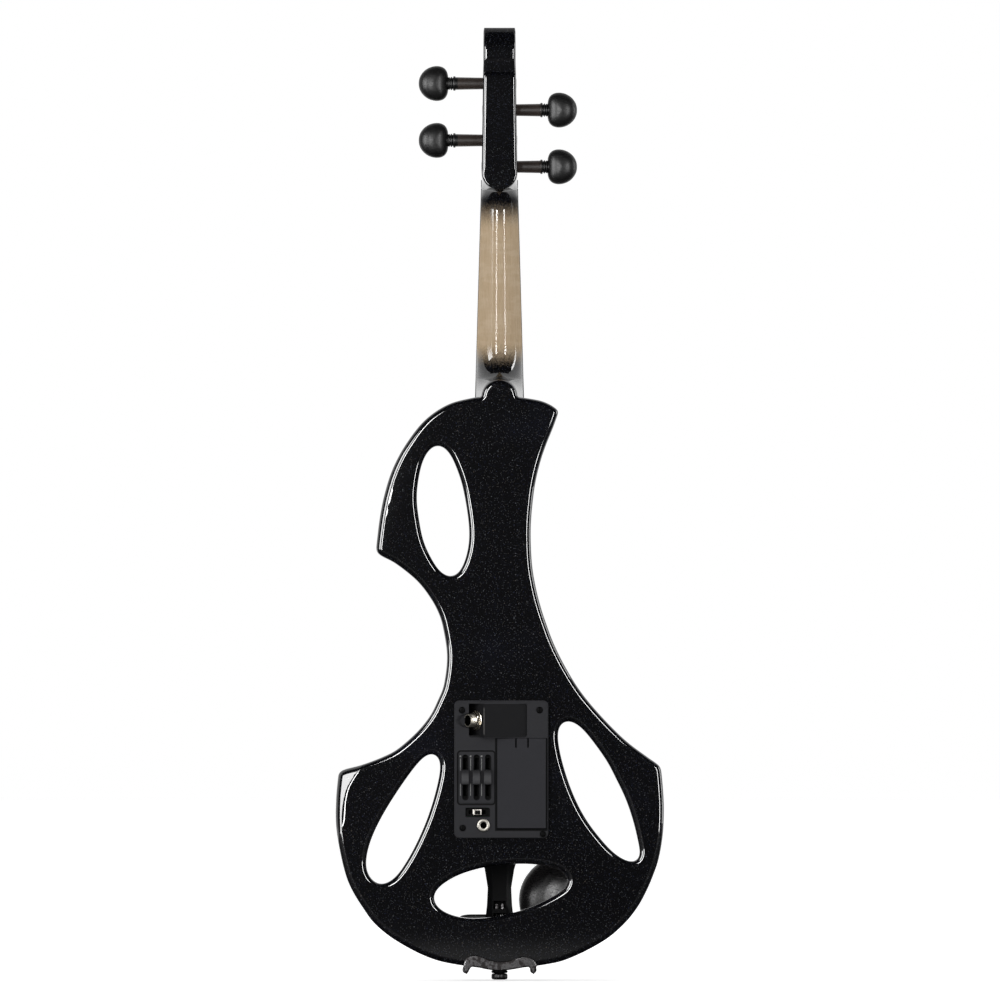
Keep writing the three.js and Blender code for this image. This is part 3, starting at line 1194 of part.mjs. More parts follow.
function chinRestSolid() {
  const middle = (CHIN.plateTreble - CHIN.plateBass) / 2;
  const plateHalf = (CHIN.plateTreble + CHIN.plateBass) / 2;
  const height = (CHIN.plateLow + CHIN.plateHigh) / 2;
  const halfHeight = (CHIN.plateHigh - CHIN.plateLow) / 2;
  const plate = slab(
    roundedBox(plateHalf, halfHeight, CHIN.plateCorner, middle, height),
    -CHIN.plateLift, CHIN.plateThickness, CHIN.plateEdge,
  );
  const sole = FRONT - FIT_GAP - CHIN.corkThickness - FIT_GAP;
  const ankle = -CHIN.plateLift - CHIN.plateThickness / 2;
  const foot = (x0, x1) => block(x0, x1, ankle, sole, CHIN.footLow, CHIN.footHigh);
  let solid = plate.add(cupSolid());
  solid = solid.add(foot(CHIN.footInner, CHIN.plateTreble - CHIN.plateEdge));
  solid = solid.add(foot(-CHIN.footBass, -CHIN.footInner));
  for (const x of [-CHIN.clampReach, CHIN.clampReach]) {
    const at = (y) => vector(x, y, CHIN.clampDrop);
    solid = solid.add(rod(at(ankle), at(-CHIN.bossEnd), CHIN.bossRadius));
    const web = CHIN.bossRadius / 2;
    solid = solid.add(block(x - web, x + web, ankle, -CHIN.bossEnd, CHIN.clampDrop, CHIN.footLow + web));
    solid = solid.subtract(rod(
      at(-CHIN.bossEnd + CUT_OVER), at(-CHIN.bossEnd - CLAMP.studSocket), CLAMP.boreRadius,
    ));
  }
  return solid;
}

addPiece('chin_rest', chinRestSolid(), ...EBONY);

const corkBack = FRONT - FIT_GAP;
for (const [side, x0, x1] of [
  ['treble', CHIN.footInner, CHIN.plateTreble - CHIN.plateEdge],
  ['bass', -CHIN.footBass, -CHIN.footInner],
]) {
  addPiece(`chin_cork_${side}`, block(
    x0, x1, corkBack - CHIN.corkThickness, corkBack, CHIN.footLow, CHIN.footHigh,
  ), ...CORK);
}

// Chin-rest clamp: studs from the chin rest, turnbuckle barrels, and the bracket on the back

for (const [side, sign] of [['bass', -1], ['treble', 1]]) {
  const at = (y) => vector(sign * CHIN.clampReach, y, CHIN.clampDrop);
  addPiece(`clamp_stud_${side}`, rod(
    at(-CHIN.bossEnd - CLAMP.studSocket + FIT_GAP), at(-CLAMP.studGap), CLAMP.studRadius,
  ), ...DARK_NICKEL);
  const barrel = rod(at(-CLAMP.barrelHalfLength), at(CLAMP.barrelHalfLength), CLAMP.barrelRadius);
  const bore = rod(
    at(-CLAMP.barrelHalfLength - CUT_OVER), at(CLAMP.barrelHalfLength + CUT_OVER),
    CLAMP.boreRadius,
  );
  const reach = CLAMP.barrelRadius + CUT_OVER;
  const pinHole = rod(
    at(0).add(vector(-reach, 0, 0)), at(0).add(vector(reach, 0, 0)), CLAMP.pinHoleRadius,
    CLAMP.pinHoleRadius, CORD_SIDES,
  );
  addPiece(`clamp_barrel_${side}`, barrel.subtract(bore).subtract(pinHole), ...DARK_NICKEL);
}

function bracketPoint([column, row]) {
  const pixel = CHIN.clampReach / BRACKET_STUD_COLUMNS;
  return new THREE.Vector2(
    (PHOTO_MIDDLE_COLUMN - column) * pixel, CHIN.clampDrop + (BRACKET_STUD_ROW - row) * pixel,
  );
}

function bracketSolid() {
  const back = BACK + FIT_GAP + CLAMP.plateThickness;
  const outline = new THREE.Shape(closedPoints(bracketPixels, 36, bracketPoint));
  let solid = slab(outline, back, CLAMP.plateThickness, CLAMP.plateEdge, 1);
  for (const x of [-CHIN.clampReach, CHIN.clampReach]) {
    const at = (y) => vector(x, y, CHIN.clampDrop);
    solid = solid.add(rod(at(back - CLAMP.plateEdge), at(CLAMP.studGap), CLAMP.studRadius));
  }
  return solid;
}

addPiece('clamp_bracket', bracketSolid(), ...DARK_NICKEL);

// Preamp panel on the back: frame, battery well, slider slots, switch slot and jack housing

const JACK_TILT = THREE.MathUtils.degToRad(JACK.tilt);
const jackAxis = vector(Math.cos(JACK_TILT), Math.sin(JACK_TILT), 0);
const faceFall = (JACK.across - JACK.ridgeAcross) / Math.tan(JACK_TILT);
const jackFace = vector(JACK.across, PANEL_FACE + JACK.ridgeRise - faceFall, JACK_Z);
const jackPoint = (along) => jackFace.clone().addScaledVector(jackAxis, along);
const POCKET_LOW = JACK_Z - JACK.pocketHalf + JACK.wall / 2;
const POCKET_HIGH = JACK_Z + JACK.pocketHalf + JACK.wall / 2;

// Section through the jack housing in x and y: the steep face with the jack, and the long ramp
function jackHousing() {
  const face = PANEL_FACE;
  const under = PANEL_SEAT;
  const ridge = [JACK.ridgeAcross, face + JACK.ridgeRise];
  const fall = (x) => (x - JACK.ridgeAcross) / Math.tan(JACK_TILT);
  const deep = [JACK.pocketLeft, ridge[1] - fall(JACK.pocketLeft)];
  const thickX = JACK.faceWall * Math.cos(JACK_TILT);
  const thickY = JACK.faceWall * Math.sin(JACK_TILT);
  const innerDeep = [deep[0] - thickX, deep[1] - thickY];
  const innerRidge = [ridge[0] - thickX, ridge[1] - thickY];
  const outerLeft = JACK.pocketLeft + JACK.wall;
  const outerRight = JACK.pocketRight - JACK.wall;
  const step = face - JACK.pocketStep;
  const shell = shapeOf([
    [JACK.pocketLeft, face], deep, ridge, [JACK.pocketRight, step], [JACK.pocketRight, face],
    [outerRight, face], [outerRight, step - JACK.wall], [JACK.pocketRight, step - JACK.wall],
    innerRidge, innerDeep, [outerLeft, innerDeep[1]], [outerLeft, face],
  ].reverse());
  const rampShare = JACK.ridgeRise / (JACK.ridgeRise + JACK.pocketStep);
  const rampFoot = lerp(JACK.ridgeAcross, JACK.pocketRight, rampShare);
  const faceFoot = JACK.ridgeAcross + JACK.ridgeRise * Math.tan(JACK_TILT);
  const end = shapeOf([
    [outerLeft, face], [faceFoot, face], ridge, [rampFoot, face], [outerRight, face],
    [outerRight, step - JACK.wall], [JACK.ridgeAcross - JACK.wall, under],
    innerDeep, [outerLeft, innerDeep[1]],
  ]);
  let solid = profileAlongZ(shell, POCKET_LOW - JACK.wall / 2, POCKET_HIGH + JACK.wall / 2);
  solid = solid.add(profileAlongZ(end, POCKET_LOW - JACK.wall, POCKET_LOW));
  return solid.add(profileAlongZ(end, POCKET_HIGH, POCKET_HIGH + JACK.wall));
}

function panelSolid() {
  const outline = roundedBox(
    (PANEL_LEFT - PANEL_RIGHT) / 2, (PANEL_HIGH - PANEL_LOW) / 2, PANEL.corner,
    (PANEL_LEFT + PANEL_RIGHT) / 2, (PANEL_LOW + PANEL_HIGH) / 2,
  );
  let solid = slab(outline, PANEL_FACE, PANEL.thickness, PANEL.edge, 1);

  // Battery well: its walls carry the cover's edges
  const wellFloor = PANEL_FACE - COVER.thickness - 2 * FIT_GAP - BATTERY.depth - BATTERY.floorGap;
  solid = solid.add(block(
    COVER_RIGHT, COVER.left, wellFloor - BATTERY.floor, PANEL_SEAT + PANEL.edge, COVER_LOW, COVER_HIGH,
  ));
  solid = solid.subtract(block(
    COVER_RIGHT + COVER.wall, COVER.left - COVER.wall, wellFloor, PANEL_FACE + CUT_OVER,
    COVER_LOW + COVER.wall, COVER_HIGH - COVER.wall,
  ));
  solid = solid.subtract(block(
    COVER_RIGHT - FIT_GAP, COVER.left + FIT_GAP, PANEL_FACE - COVER.thickness - FIT_GAP,
    PANEL_FACE + CUT_OVER, COVER_LOW - FIT_GAP, COVER_HIGH + FIT_GAP,
  ));
  const hingeY = PANEL_FACE - COVER.thickness / 2;
  const hingeZ = COVER_LOW + COVER.thickness / 2;
  solid = solid.subtract(rod(
    vector(COVER_RIGHT - COVER.trunnionReach - 2 * FIT_GAP, hingeY, hingeZ),
    vector(COVER.left + COVER.trunnionReach + 2 * FIT_GAP, hingeY, hingeZ),
    COVER.trunnionRadius + RUN_GAP, COVER.trunnionRadius + RUN_GAP, CORD_SIDES,
  ));

  // Jack housing
  solid = solid.subtract(block(
    JACK.pocketRight, JACK.pocketLeft, PANEL_SEAT - CUT_OVER, PANEL_FACE + CUT_OVER,
    POCKET_LOW, POCKET_HIGH,
  ));
  solid = solid.add(jackHousing());
  solid = solid.subtract(rod(
    jackPoint(-JACK.faceWall - CUT_OVER), jackPoint(JACK.mouth), JACK.barrelRadius + FIT_GAP,
  ));
  const scallop = rod(
    jackPoint(JACK.mouth - JACK.wall), jackPoint(JACK.mouth + JACK.bodyLength),
    JACK.scallopRadius,
  ).intersect(block(
    0, PANEL_LEFT, PANEL_SEAT + JACK.scallopFloor, PANEL_FACE + JACK.bodyLength,
    POCKET_LOW, POCKET_HIGH,
  ));
  solid = solid.subtract(scallop);
  const nutReach = 2 * FIT_GAP + JACK_NUT.washerThickness + JACK_NUT.thickness;
  solid = solid.subtract(rod(
    jackPoint(0), jackPoint(nutReach), JACK_NUT.radius + FIT_GAP, JACK_NUT.radius + FIT_GAP, 6,
  ));

  // Slider slots inside their engraved rim
  const rim = roundedBox(
    SLIDER.rimHalfWidth, SLIDER.rimHalfHeight, SLIDER.rimCorner, SLIDER.middle, SLIDER_Z,
  );
  const inner = roundedBox(
    SLIDER.rimHalfWidth - SLIDER.rimWidth, SLIDER.rimHalfHeight - SLIDER.rimWidth,
    SLIDER.rimCorner - SLIDER.rimWidth, SLIDER.middle, SLIDER_Z,
  );
  rim.holes.push(new THREE.Path(inner.getPoints(4)));
  solid = solid.subtract(slab(rim, PANEL_FACE + CUT_OVER, SLIDER.rimDepth + CUT_OVER));
  for (const step of [-1, 0, 1]) {
    solid = solid.subtract(slab(roundedBox(
      SLIDER.slotHalfWidth, SLIDER.slotHalfLength, SLIDER.slotHalfWidth * 0.9,
      SLIDER.middle + step * SLIDER.spacing, SLIDER_Z,
    ), PANEL_FACE + CUT_OVER, PANEL.thickness + 2 * CUT_OVER));
  }

  // Switch slot, auxiliary jack hole and screw holes
  solid = solid.subtract(slab(roundedBox(
    SWITCH.slotHalfWidth, SWITCH.slotHalfHeight, SWITCH.slotHalfHeight / 3, SWITCH.across,
    SWITCH_Z,
  ), PANEL_FACE + CUT_OVER, PANEL.thickness + 2 * CUT_OVER));
  const through = (x, z, radius, from = PANEL_SEAT - CUT_OVER, sides = ROUND_SIDES) => rod(
    vector(x, from, z), vector(x, PANEL_FACE + CUT_OVER, z), radius, radius, sides,
  );
  solid = solid.subtract(through(AUX.across, AUX_Z, AUX.barrelRadius + FIT_GAP));
  const headSeat = PANEL_FACE - PANEL_SCREW.sink - PANEL_SCREW.headHeight - FIT_GAP;
  for (const [x, z] of screwPlaces) {
    const { sides } = PANEL_SCREW;
    solid = solid.subtract(through(
      x, z, PANEL_SCREW.shankRadius + FIT_GAP, PANEL_SEAT - CUT_OVER, sides,
    ));
    solid = solid.subtract(through(x, z, PANEL_SCREW.headRadius + FIT_GAP, headSeat, sides));
  }
  return solid;
}

addPiece('preamp_panel', panelSolid(), ...PLASTIC);

const SCREW_TOP = PANEL_FACE - PANEL_SCREW.sink;
screwPlaces.forEach(([x, z], i) => {
  const neck = PANEL_SCREW.length - PANEL_SCREW.headHeight;
  let screw = turned([
    [0, 0], [PANEL_SCREW.shankRadius, PANEL_SCREW.shankRadius], [PANEL_SCREW.shankRadius, neck],
    [PANEL_SCREW.headRadius, neck], [PANEL_SCREW.headRadius, PANEL_SCREW.length],
    [0, PANEL_SCREW.length],
  ], vector(x, SCREW_TOP - PANEL_SCREW.length, z), vector(0, 1, 0), PANEL_SCREW.sides);
  const reach = PANEL_SCREW.slotReach;
  const half = PANEL_SCREW.slotWidth / 2;
  const bottom = SCREW_TOP - PANEL_SCREW.slotDepth;
  const top = SCREW_TOP + CUT_OVER;
  screw = screw.subtract(block(x - reach, x + reach, bottom, top, z - half, z + half));
  screw = screw.subtract(block(x - half, x + half, bottom, top, z - reach, z + reach));
  addPiece(`panel_screw_${i + 1}`, screw, ...BLACK_PLASTIC);
});

// Slider caps, with stems down into the slide pots

const POT_FACE = PANEL_SEAT - FIT_GAP;
const CAP_SEAT = PANEL_FACE + FIT_GAP;

function sliderCapSolid(x) {
  const low = SLIDER_Z - SLIDER.capHalfLength;
  const high = SLIDER_Z + SLIDER.capHalfLength;
  const top = CAP_SEAT + SLIDER.capHeight;
  const profile = new THREE.Shape();
  profile.moveTo(CAP_SEAT, low);
  profile.lineTo(top - SLIDER.saddle, low);
  profile.lineTo(top, low + SLIDER.saddle);
  profile.quadraticCurveTo(top - 2 * SLIDER.saddle, SLIDER_Z, top, high - SLIDER.saddle);
  profile.lineTo(top - SLIDER.saddle, high);
  profile.lineTo(CAP_SEAT, high);
  const cap = profileAlongX(profile, x - SLIDER.capHalfWidth, x + SLIDER.capHalfWidth);
  const stem = block(
    x - SLIDER.stemHalfWidth, x + SLIDER.stemHalfWidth, POT_FACE - POT.slotDepth + FIT_GAP,
    CAP_SEAT + SLIDER.saddle, SLIDER_Z - SLIDER.stemHalfLength,
    SLIDER_Z + SLIDER.stemHalfLength,
  );
  return cap.add(stem);
}

['volume', 'treble', 'bass'].forEach((use, i) => {
  const x = SLIDER.middle + (1 - i) * SLIDER.spacing;
  addPiece(`slider_cap_${use}`, sliderCapSolid(x), ...BLACK_PLASTIC);
});

addPiece('output_switch', block(
  SWITCH.across - SWITCH.knobHalfWidth, SWITCH.across + SWITCH.knobHalfWidth, CAP_SEAT - PANEL.thickness,
  PANEL_FACE + SWITCH.proud, SWITCH_Z - SWITCH.knobHalfHeight,
  SWITCH_Z + SWITCH.knobHalfHeight,
).add(block(
  SWITCH.across - SWITCH.stemHalfWidth, SWITCH.across + SWITCH.stemHalfWidth,
  POT_FACE - SWITCH.slotDepth + FIT_GAP, PANEL_FACE, SWITCH_Z - SWITCH.stemHalfHeight,
  SWITCH_Z + SWITCH.stemHalfHeight,
)), ...NICKEL);

// Circuit board with the slide pots and the switch body on it

function boardSolid() {
  let solid = block(
    BOARD.right, BOARD.left, BOARD.back - BOARD.thickness, BOARD.back, BOARD_LOW, BOARD_HIGH,
  );
  const root = BOARD.back - BOARD.thickness / 2;
  const over = POT_FACE + CUT_OVER;
  for (const step of [-1, 0, 1]) {
    const x = SLIDER.middle + step * SLIDER.spacing;
    solid = solid.add(block(
      x - POT.halfWidth, x + POT.halfWidth, root, POT_FACE, SLIDER_Z - POT.halfLength,
      SLIDER_Z + POT.halfLength,
    ));
    const slotHalf = SLIDER.stemHalfWidth + FIT_GAP;
    const reach = SLIDER.travel + SLIDER.stemHalfLength + FIT_GAP;
    solid = solid.subtract(block(
      x - slotHalf, x + slotHalf, POT_FACE - POT.slotDepth, over, SLIDER_Z - reach,
      SLIDER_Z + reach,
    ));
  }
  solid = solid.add(block(
    SWITCH.across - SWITCH.bodyHalfWidth, SWITCH.across + SWITCH.bodyHalfWidth, root, POT_FACE,
    SWITCH_Z - SWITCH.bodyHalfHeight, SWITCH_Z + SWITCH.bodyHalfHeight,
  ));
  const reach = SWITCH.travel + SWITCH.stemHalfWidth + FIT_GAP;
  const slotHalf = SWITCH.stemHalfHeight + FIT_GAP;
  return solid.subtract(block(
    SWITCH.across - reach, SWITCH.across + reach, POT_FACE - SWITCH.slotDepth, over,
    SWITCH_Z - slotHalf, SWITCH_Z + slotHalf,
  ));
}

addPiece('circuit_board', boardSolid(), ...BOARD_GREEN);

// Jacks

const rimSeat = PANEL_FACE + FIT_GAP;
const rimTop = rimSeat + AUX.rimHeight;
const auxBottom = POT_FACE - AUX.bodyLength;
addPiece('aux_jack', turned([
  [0, auxBottom], [AUX.bodyRadius, auxBottom], [AUX.bodyRadius, POT_FACE],
  [AUX.barrelRadius, POT_FACE], [AUX.barrelRadius, rimSeat], [AUX.rimRadius, rimSeat],
  [AUX.rimRadius - AUX.rimHeight, rimTop], [AUX.boreRadius, rimTop],
  [AUX.boreRadius, rimTop - AUX.boreLength], [0, rimTop - AUX.boreLength],
], vector(AUX.across, 0, AUX_Z), vector(0, 1, 0)), ...NICKEL);

const bodyStart = -JACK.faceWall - FIT_GAP;
addPiece('output_jack', turned([
  [0, bodyStart - JACK.bodyLength], [JACK.bodyRadius, bodyStart - JACK.bodyLength],
  [JACK.bodyRadius, bodyStart], [JACK.barrelRadius, bodyStart],
  [JACK.barrelRadius, JACK.mouth - JACK.chamfer], [JACK.barrelRadius - JACK.chamfer, JACK.mouth],
  [JACK.boreRadius, JACK.mouth], [JACK.boreRadius, JACK.mouth - JACK.boreLength],
  [0, JACK.mouth - JACK.boreLength],
], jackFace, jackAxis), ...NICKEL);

const washerTop = FIT_GAP + JACK_NUT.washerThickness;
const nutSolid = rod(
  jackPoint(FIT_GAP), jackPoint(washerTop), JACK_NUT.washerRadius,
).add(rod(
  jackPoint(washerTop - JACK_NUT.washerThickness / 2), jackPoint(washerTop + JACK_NUT.thickness),
  JACK_NUT.radius, JACK_NUT.radius, 6,
)).subtract(rod(
  jackPoint(0), jackPoint(washerTop + JACK_NUT.thickness + CUT_OVER), JACK.barrelRadius + FIT_GAP,
));
addPiece('jack_nut', nutSolid, ...NICKEL);

// Battery cover: a round-nosed plate on two trunnions at its lower edge, with two slits at the top

function coverSolid() {
  const inner = PANEL_FACE - COVER.thickness;
  const radius = COVER.thickness / 2;
  const hingeY = inner + radius;
  const hingeZ = COVER_LOW + radius;
  const profile = new THREE.Shape();
  profile.moveTo(inner, COVER_HIGH);
  profile.lineTo(inner, hingeZ);
  profile.absarc(hingeY, hingeZ, radius, Math.PI, 2 * Math.PI);
  profile.lineTo(PANEL_FACE, COVER_HIGH);
  let solid = profileAlongX(profile, COVER_RIGHT, COVER.left);
  for (const x of [COVER.slitOuter, COVER.slitInner]) {
    const half = COVER.slitWidth / 2;
    solid = solid.subtract(block(
      x - half, x + half, inner - CUT_OVER, PANEL_FACE + CUT_OVER, COVER_HIGH - COVER.slitLength,
      COVER_HIGH + CUT_OVER,
    ));
  }
  return solid.add(rod(
    vector(COVER_RIGHT - COVER.trunnionReach, hingeY, hingeZ),
    vector(COVER.left + COVER.trunnionReach, hingeY, hingeZ), COVER.trunnionRadius,
    COVER.trunnionRadius, CORD_SIDES,
  ));
}

addPiece('battery_cover', coverSolid(), ...PLASTIC);

// Battery, with its two snap terminals towards the jack

function batterySolid() {
  const middle = (COVER.left + COVER_RIGHT) / 2;
  const back = PANEL_FACE - COVER.thickness - 2 * FIT_GAP;
  const low = COVER_LOW + COVER.wall + BATTERY.contactGap;
  const outline = roundedBox(
    BATTERY.width / 2, BATTERY.height / 2, BATTERY.edge, middle, low + BATTERY.height / 2,
  );
  let solid = slab(outline, back, BATTERY.depth);
  for (const sign of [-0.5, 0.5]) {
    const x = middle + sign * BATTERY.snapSpread;
    const y = back - BATTERY.depth / 2;
    solid = solid.add(rod(
      vector(x, y, low + BATTERY.height - BATTERY.edge),
      vector(x, y, low + BATTERY.height + BATTERY.snapHeight), BATTERY.snapRadius,
      BATTERY.snapRadius, PANEL_SCREW.sides,
    ));
  }
  return solid;
}

addPiece('battery', batterySolid(), ...BATTERY_GREY);

export default group;
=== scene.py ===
# %% [markdown]
# # An electric violin, seen from its back
#
# The solids of the violin are loaded first and stay where they are. Everything after that gives
# them their looks: finer copies of the curved pieces, a finish for each surface, and a plain
# studio. Lengths are typed in millimetres and turned into metres when a mesh is made. +Z runs
# from the end button to the head, and the flat back faces +Y.

# %% Load the solids
import math

import bmesh
import bpy
import numpy as np
from mathutils import Matrix, Vector, geometry


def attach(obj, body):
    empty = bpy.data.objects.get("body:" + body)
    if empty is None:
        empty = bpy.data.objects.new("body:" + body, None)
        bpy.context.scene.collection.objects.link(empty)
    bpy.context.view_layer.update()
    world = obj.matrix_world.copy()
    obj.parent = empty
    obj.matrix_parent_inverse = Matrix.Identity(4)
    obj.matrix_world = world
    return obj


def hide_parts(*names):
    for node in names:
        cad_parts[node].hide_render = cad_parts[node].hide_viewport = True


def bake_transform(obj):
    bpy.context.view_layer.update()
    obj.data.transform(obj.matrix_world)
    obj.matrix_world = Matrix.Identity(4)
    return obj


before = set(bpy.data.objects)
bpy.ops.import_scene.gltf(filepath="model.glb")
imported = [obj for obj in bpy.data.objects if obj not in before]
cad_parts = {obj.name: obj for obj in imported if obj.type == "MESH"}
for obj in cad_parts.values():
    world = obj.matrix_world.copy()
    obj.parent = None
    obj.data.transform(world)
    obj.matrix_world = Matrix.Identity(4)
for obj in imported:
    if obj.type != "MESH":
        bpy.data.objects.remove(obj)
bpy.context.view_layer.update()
scene = bpy.context.scene
scene.view_settings.view_transform = "Standard"

# %% [markdown]
# ## Camera
#
# The photograph looks straight at the back from far off. A very long lens twenty metres away keeps
# the outline free of perspective, so one pixel is 0.62 mm on every piece, near or far.

# %% Camera
PIXEL = 355 / 572
MIDDLE_COLUMN = 499.5
BOTTOM_ROW = 969
BODY_BOTTOM = 6.8
VIEW_DISTANCE = 20000
BACK = 15
SENSOR = 36

lens = bpy.data.cameras.new("long_lens")
lens.sensor_width = SENSOR
lens.lens = SENSOR * VIEW_DISTANCE / (1000 * PIXEL)
lens.clip_start = 0.05
lens.clip_end = 50
camera = bpy.data.objects.new("camera", lens)
scene.collection.objects.link(camera)
camera.location = (
    (MIDDLE_COLUMN - 500) * PIXEL / 1000,
    (BACK + VIEW_DISTANCE) / 1000,
    (BODY_BOTTOM + (BOTTOM_ROW - 500) * PIXEL) / 1000,
)
camera.rotation_euler = (math.radians(90), 0, math.radians(180))
scene.camera = camera
print("lens", round(lens.lens, 1), "mm at", [round(v, 4) for v in camera.location])

# %% [markdown]
# ## Shader maths as expressions
#
# A finish is easier to read when its maths looks like maths. A Wire holds the output of a node,
# and the usual signs add Math nodes to it. A Graph is the nodes of a material or of the world: its
# node method adds any node, with its settings first and its sockets after.

# %% Wires
class Wire:
    """An output of a node that takes part in sums like a number."""

    def __init__(self, graph, socket):
        self.graph = graph
        self.socket = socket

    def step(self, low, high):
        """0 below low and 1 above high, with a smooth rise between."""
        return self.graph.node(
            "MapRange", {"interpolation_type": "SMOOTHSTEP"},
            {"Value": self, "From Min": low, "From Max": high},
        )


def sum_method(operation, turned=False):
    """A method of Wire that puts it and at most one other term into a Math node."""
    def method(self, *other):
        terms = (*other, self) if turned else (self, *other)
        return self.graph.node("Math", {"operation": operation}, dict(enumerate(terms)))

    return method


for sign, operation in {
    "__add__": "ADD", "__sub__": "SUBTRACT", "__mul__": "MULTIPLY", "__gt__": "GREATER_THAN",
    "__pow__": "POWER", "__abs__": "ABSOLUTE", "least": "MINIMUM", "most": "MAXIMUM",
}.items():
    setattr(Wire, sign, sum_method(operation))
for sign, operation in {"__radd__": "ADD", "__rsub__": "SUBTRACT", "__rmul__": "MULTIPLY"}.items():
    setattr(Wire, sign, sum_method(operation, turned=True))
print("signs for wires ready")

# %% Graphs and finishes
class Graph:
    """The nodes of a material or of the world, round the one that holds its look."""

    def __init__(self, tree, shader):
        self.tree = tree
        self.shader = tree.nodes[shader]

    def node(self, kind, settings=None, sockets=None, output=0):
        node = self.tree.nodes.new("ShaderNode" + kind)
        for key, value in (settings or {}).items():
            setattr(node, key, value)
        for key, value in (sockets or {}).items():
            self._plug(node.inputs[key], value)
        return Wire(self, node.outputs[output])

    def set(self, sockets):
        for key, value in sockets.items():
            self._plug(self.shader.inputs[key], value)
        return self

    def _plug(self, socket, value):
        if isinstance(value, Wire):
            self.tree.links.new(value.socket, socket)
        elif socket.type == "RGBA" and len(value) == 3:
            socket.default_value = (*value, 1)
        else:
            socket.default_value = value


class Finish(Graph):
    """One material. Its place is the point on the surface, in metres."""

    def __init__(self, name, **sockets):
        self.material = bpy.data.materials.new(name)
        self.material.use_nodes = True
        super().__init__(self.material.node_tree, "Principled BSDF")
        self.place = self.node("TexCoord", output="Object")
        self.set(sockets)

    def axis(self, letter):
        """One coordinate of the place, in millimetres."""
        return self.node("SeparateXYZ", {}, {0: self.place}, letter) * 1000

    def texture(self, kind, size, output, draw, **more):
        """Lumps of that many millimetres, drawn out along the axes where draw is small."""
        place = self.place
        if draw:
            place = self.node("VectorMath", {"operation": "MULTIPLY"}, {0: place, 1: draw})
        return self.node(kind, {}, {"Vector": place, "Scale": 1000 / size, **more}, output)

    def noise(self, size, detail=2, draw=None):
        """Cloudy noise from 0 to 1."""
        return self.texture("TexNoise", size, 0, draw, Detail=detail)

    def cells(self, size, output="Distance", draw=None):
        return self.texture("TexVoronoi", size, output, draw)

    def ramp(self, factor, *stops):
        """A run of colours. Each stop is a position from 0 to 1 and a colour."""
        wire = self.node("ValToRGB", {}, {0: factor})
        elements = wire.socket.node.color_ramp.elements
        while len(elements) < len(stops):
            elements.new(1)
        for element, (position, colour) in zip(elements, stops):
            element.position = position
            element.color = (*colour, 1)
        return wire

    def mix(self, mask, below, above):
        return self.node("Mix", {"data_type": "RGBA"}, {0: mask, 6: below, 7: above}, 2)

    def bump(self, height, depth, strength=1):
        """Height from 0 to 1 becomes a relief that many millimetres deep."""
        relief = {"Height": height, "Distance": depth / 1000, "Strength": strength}
        return self.set({"Normal": self.node("Bump", {}, relief)})


def paint(*levels):
    """A colour as read on the screen, from 0 to 255, in the light's own values."""
    return tuple(((v / 255 + 0.055) / 1.055) ** 2.4 if v > 10 else v / 3295 for v in levels)


print("maple in the light's own values", [round(v, 3) for v in paint(205, 185, 160)])

# %% [markdown]
# ## Sparkle lacquer
#
# The body and the head are sprayed black, with fine metal flakes under a thick polished clear
# coat. Flakes are single cells of a Voronoi pattern: most cells stay black, a few show blue, white
# or brown. The clear coat is the shader's own coat layer, very slightly uneven like sprayed
# lacquer, because a perfectly even mirror looks like glass.

# %% Sparkle lacquer
BLACK_LACQUER = paint(5, 5, 8)
FLAKE_SIZES = ((0.75, 0.5, 0.34), (1.0, 0.955, 0.66))  # size, share left black, strength


def flakes(finish, colour):
    """Adds two sizes of flakes to a colour."""
    for size, rare, strength in FLAKE_SIZES:
        chance, tint = (
            finish.node("SeparateColor", {}, {0: finish.cells(size, "Color")}, k) for k in (0, 1)
        )
        near = 1 - finish.cells(size).step(0.2, 0.5)
        shade = finish.ramp(
            tint, (0, paint(34, 40, 66)), (0.5, paint(58, 62, 74)), (0.85, paint(104, 108, 114)),
            (1, paint(84, 76, 66)),
        )
        colour = finish.mix((chance > rare) * near * strength, colour, shade)
    return colour


lacquer = Finish("sparkle_lacquer")
cloud = lacquer.noise(60, 3)
tinted = lacquer.mix(cloud.step(0.5, 0.75), BLACK_LACQUER, paint(13, 15, 25))
lacquer.set({
    "Base Color": flakes(lacquer, tinted), "Roughness": 0.36 + 0.08 * cloud,
    "Coat Weight": 1.0, "Coat Roughness": 0.03, "Coat IOR": 1.6, "Specular IOR Level": 0.02,
}).bump(lacquer.noise(9), 0.004)
print("lacquer nodes", len(lacquer.tree.nodes))

# %% [markdown]
# ## Maple neck under a sunburst spray
#
# The neck is one piece of maple with the head and pegbox. Only its middle stays bare: the same
# black lacquer is sprayed over both ends and fades into the wood. A mask along Z does that, and
# its edge is broken up by noise, as the mist of a spray gun is. The wood has fine lines along Z.
# The coat is thin where the flanks were rubbed and at the top of the head.

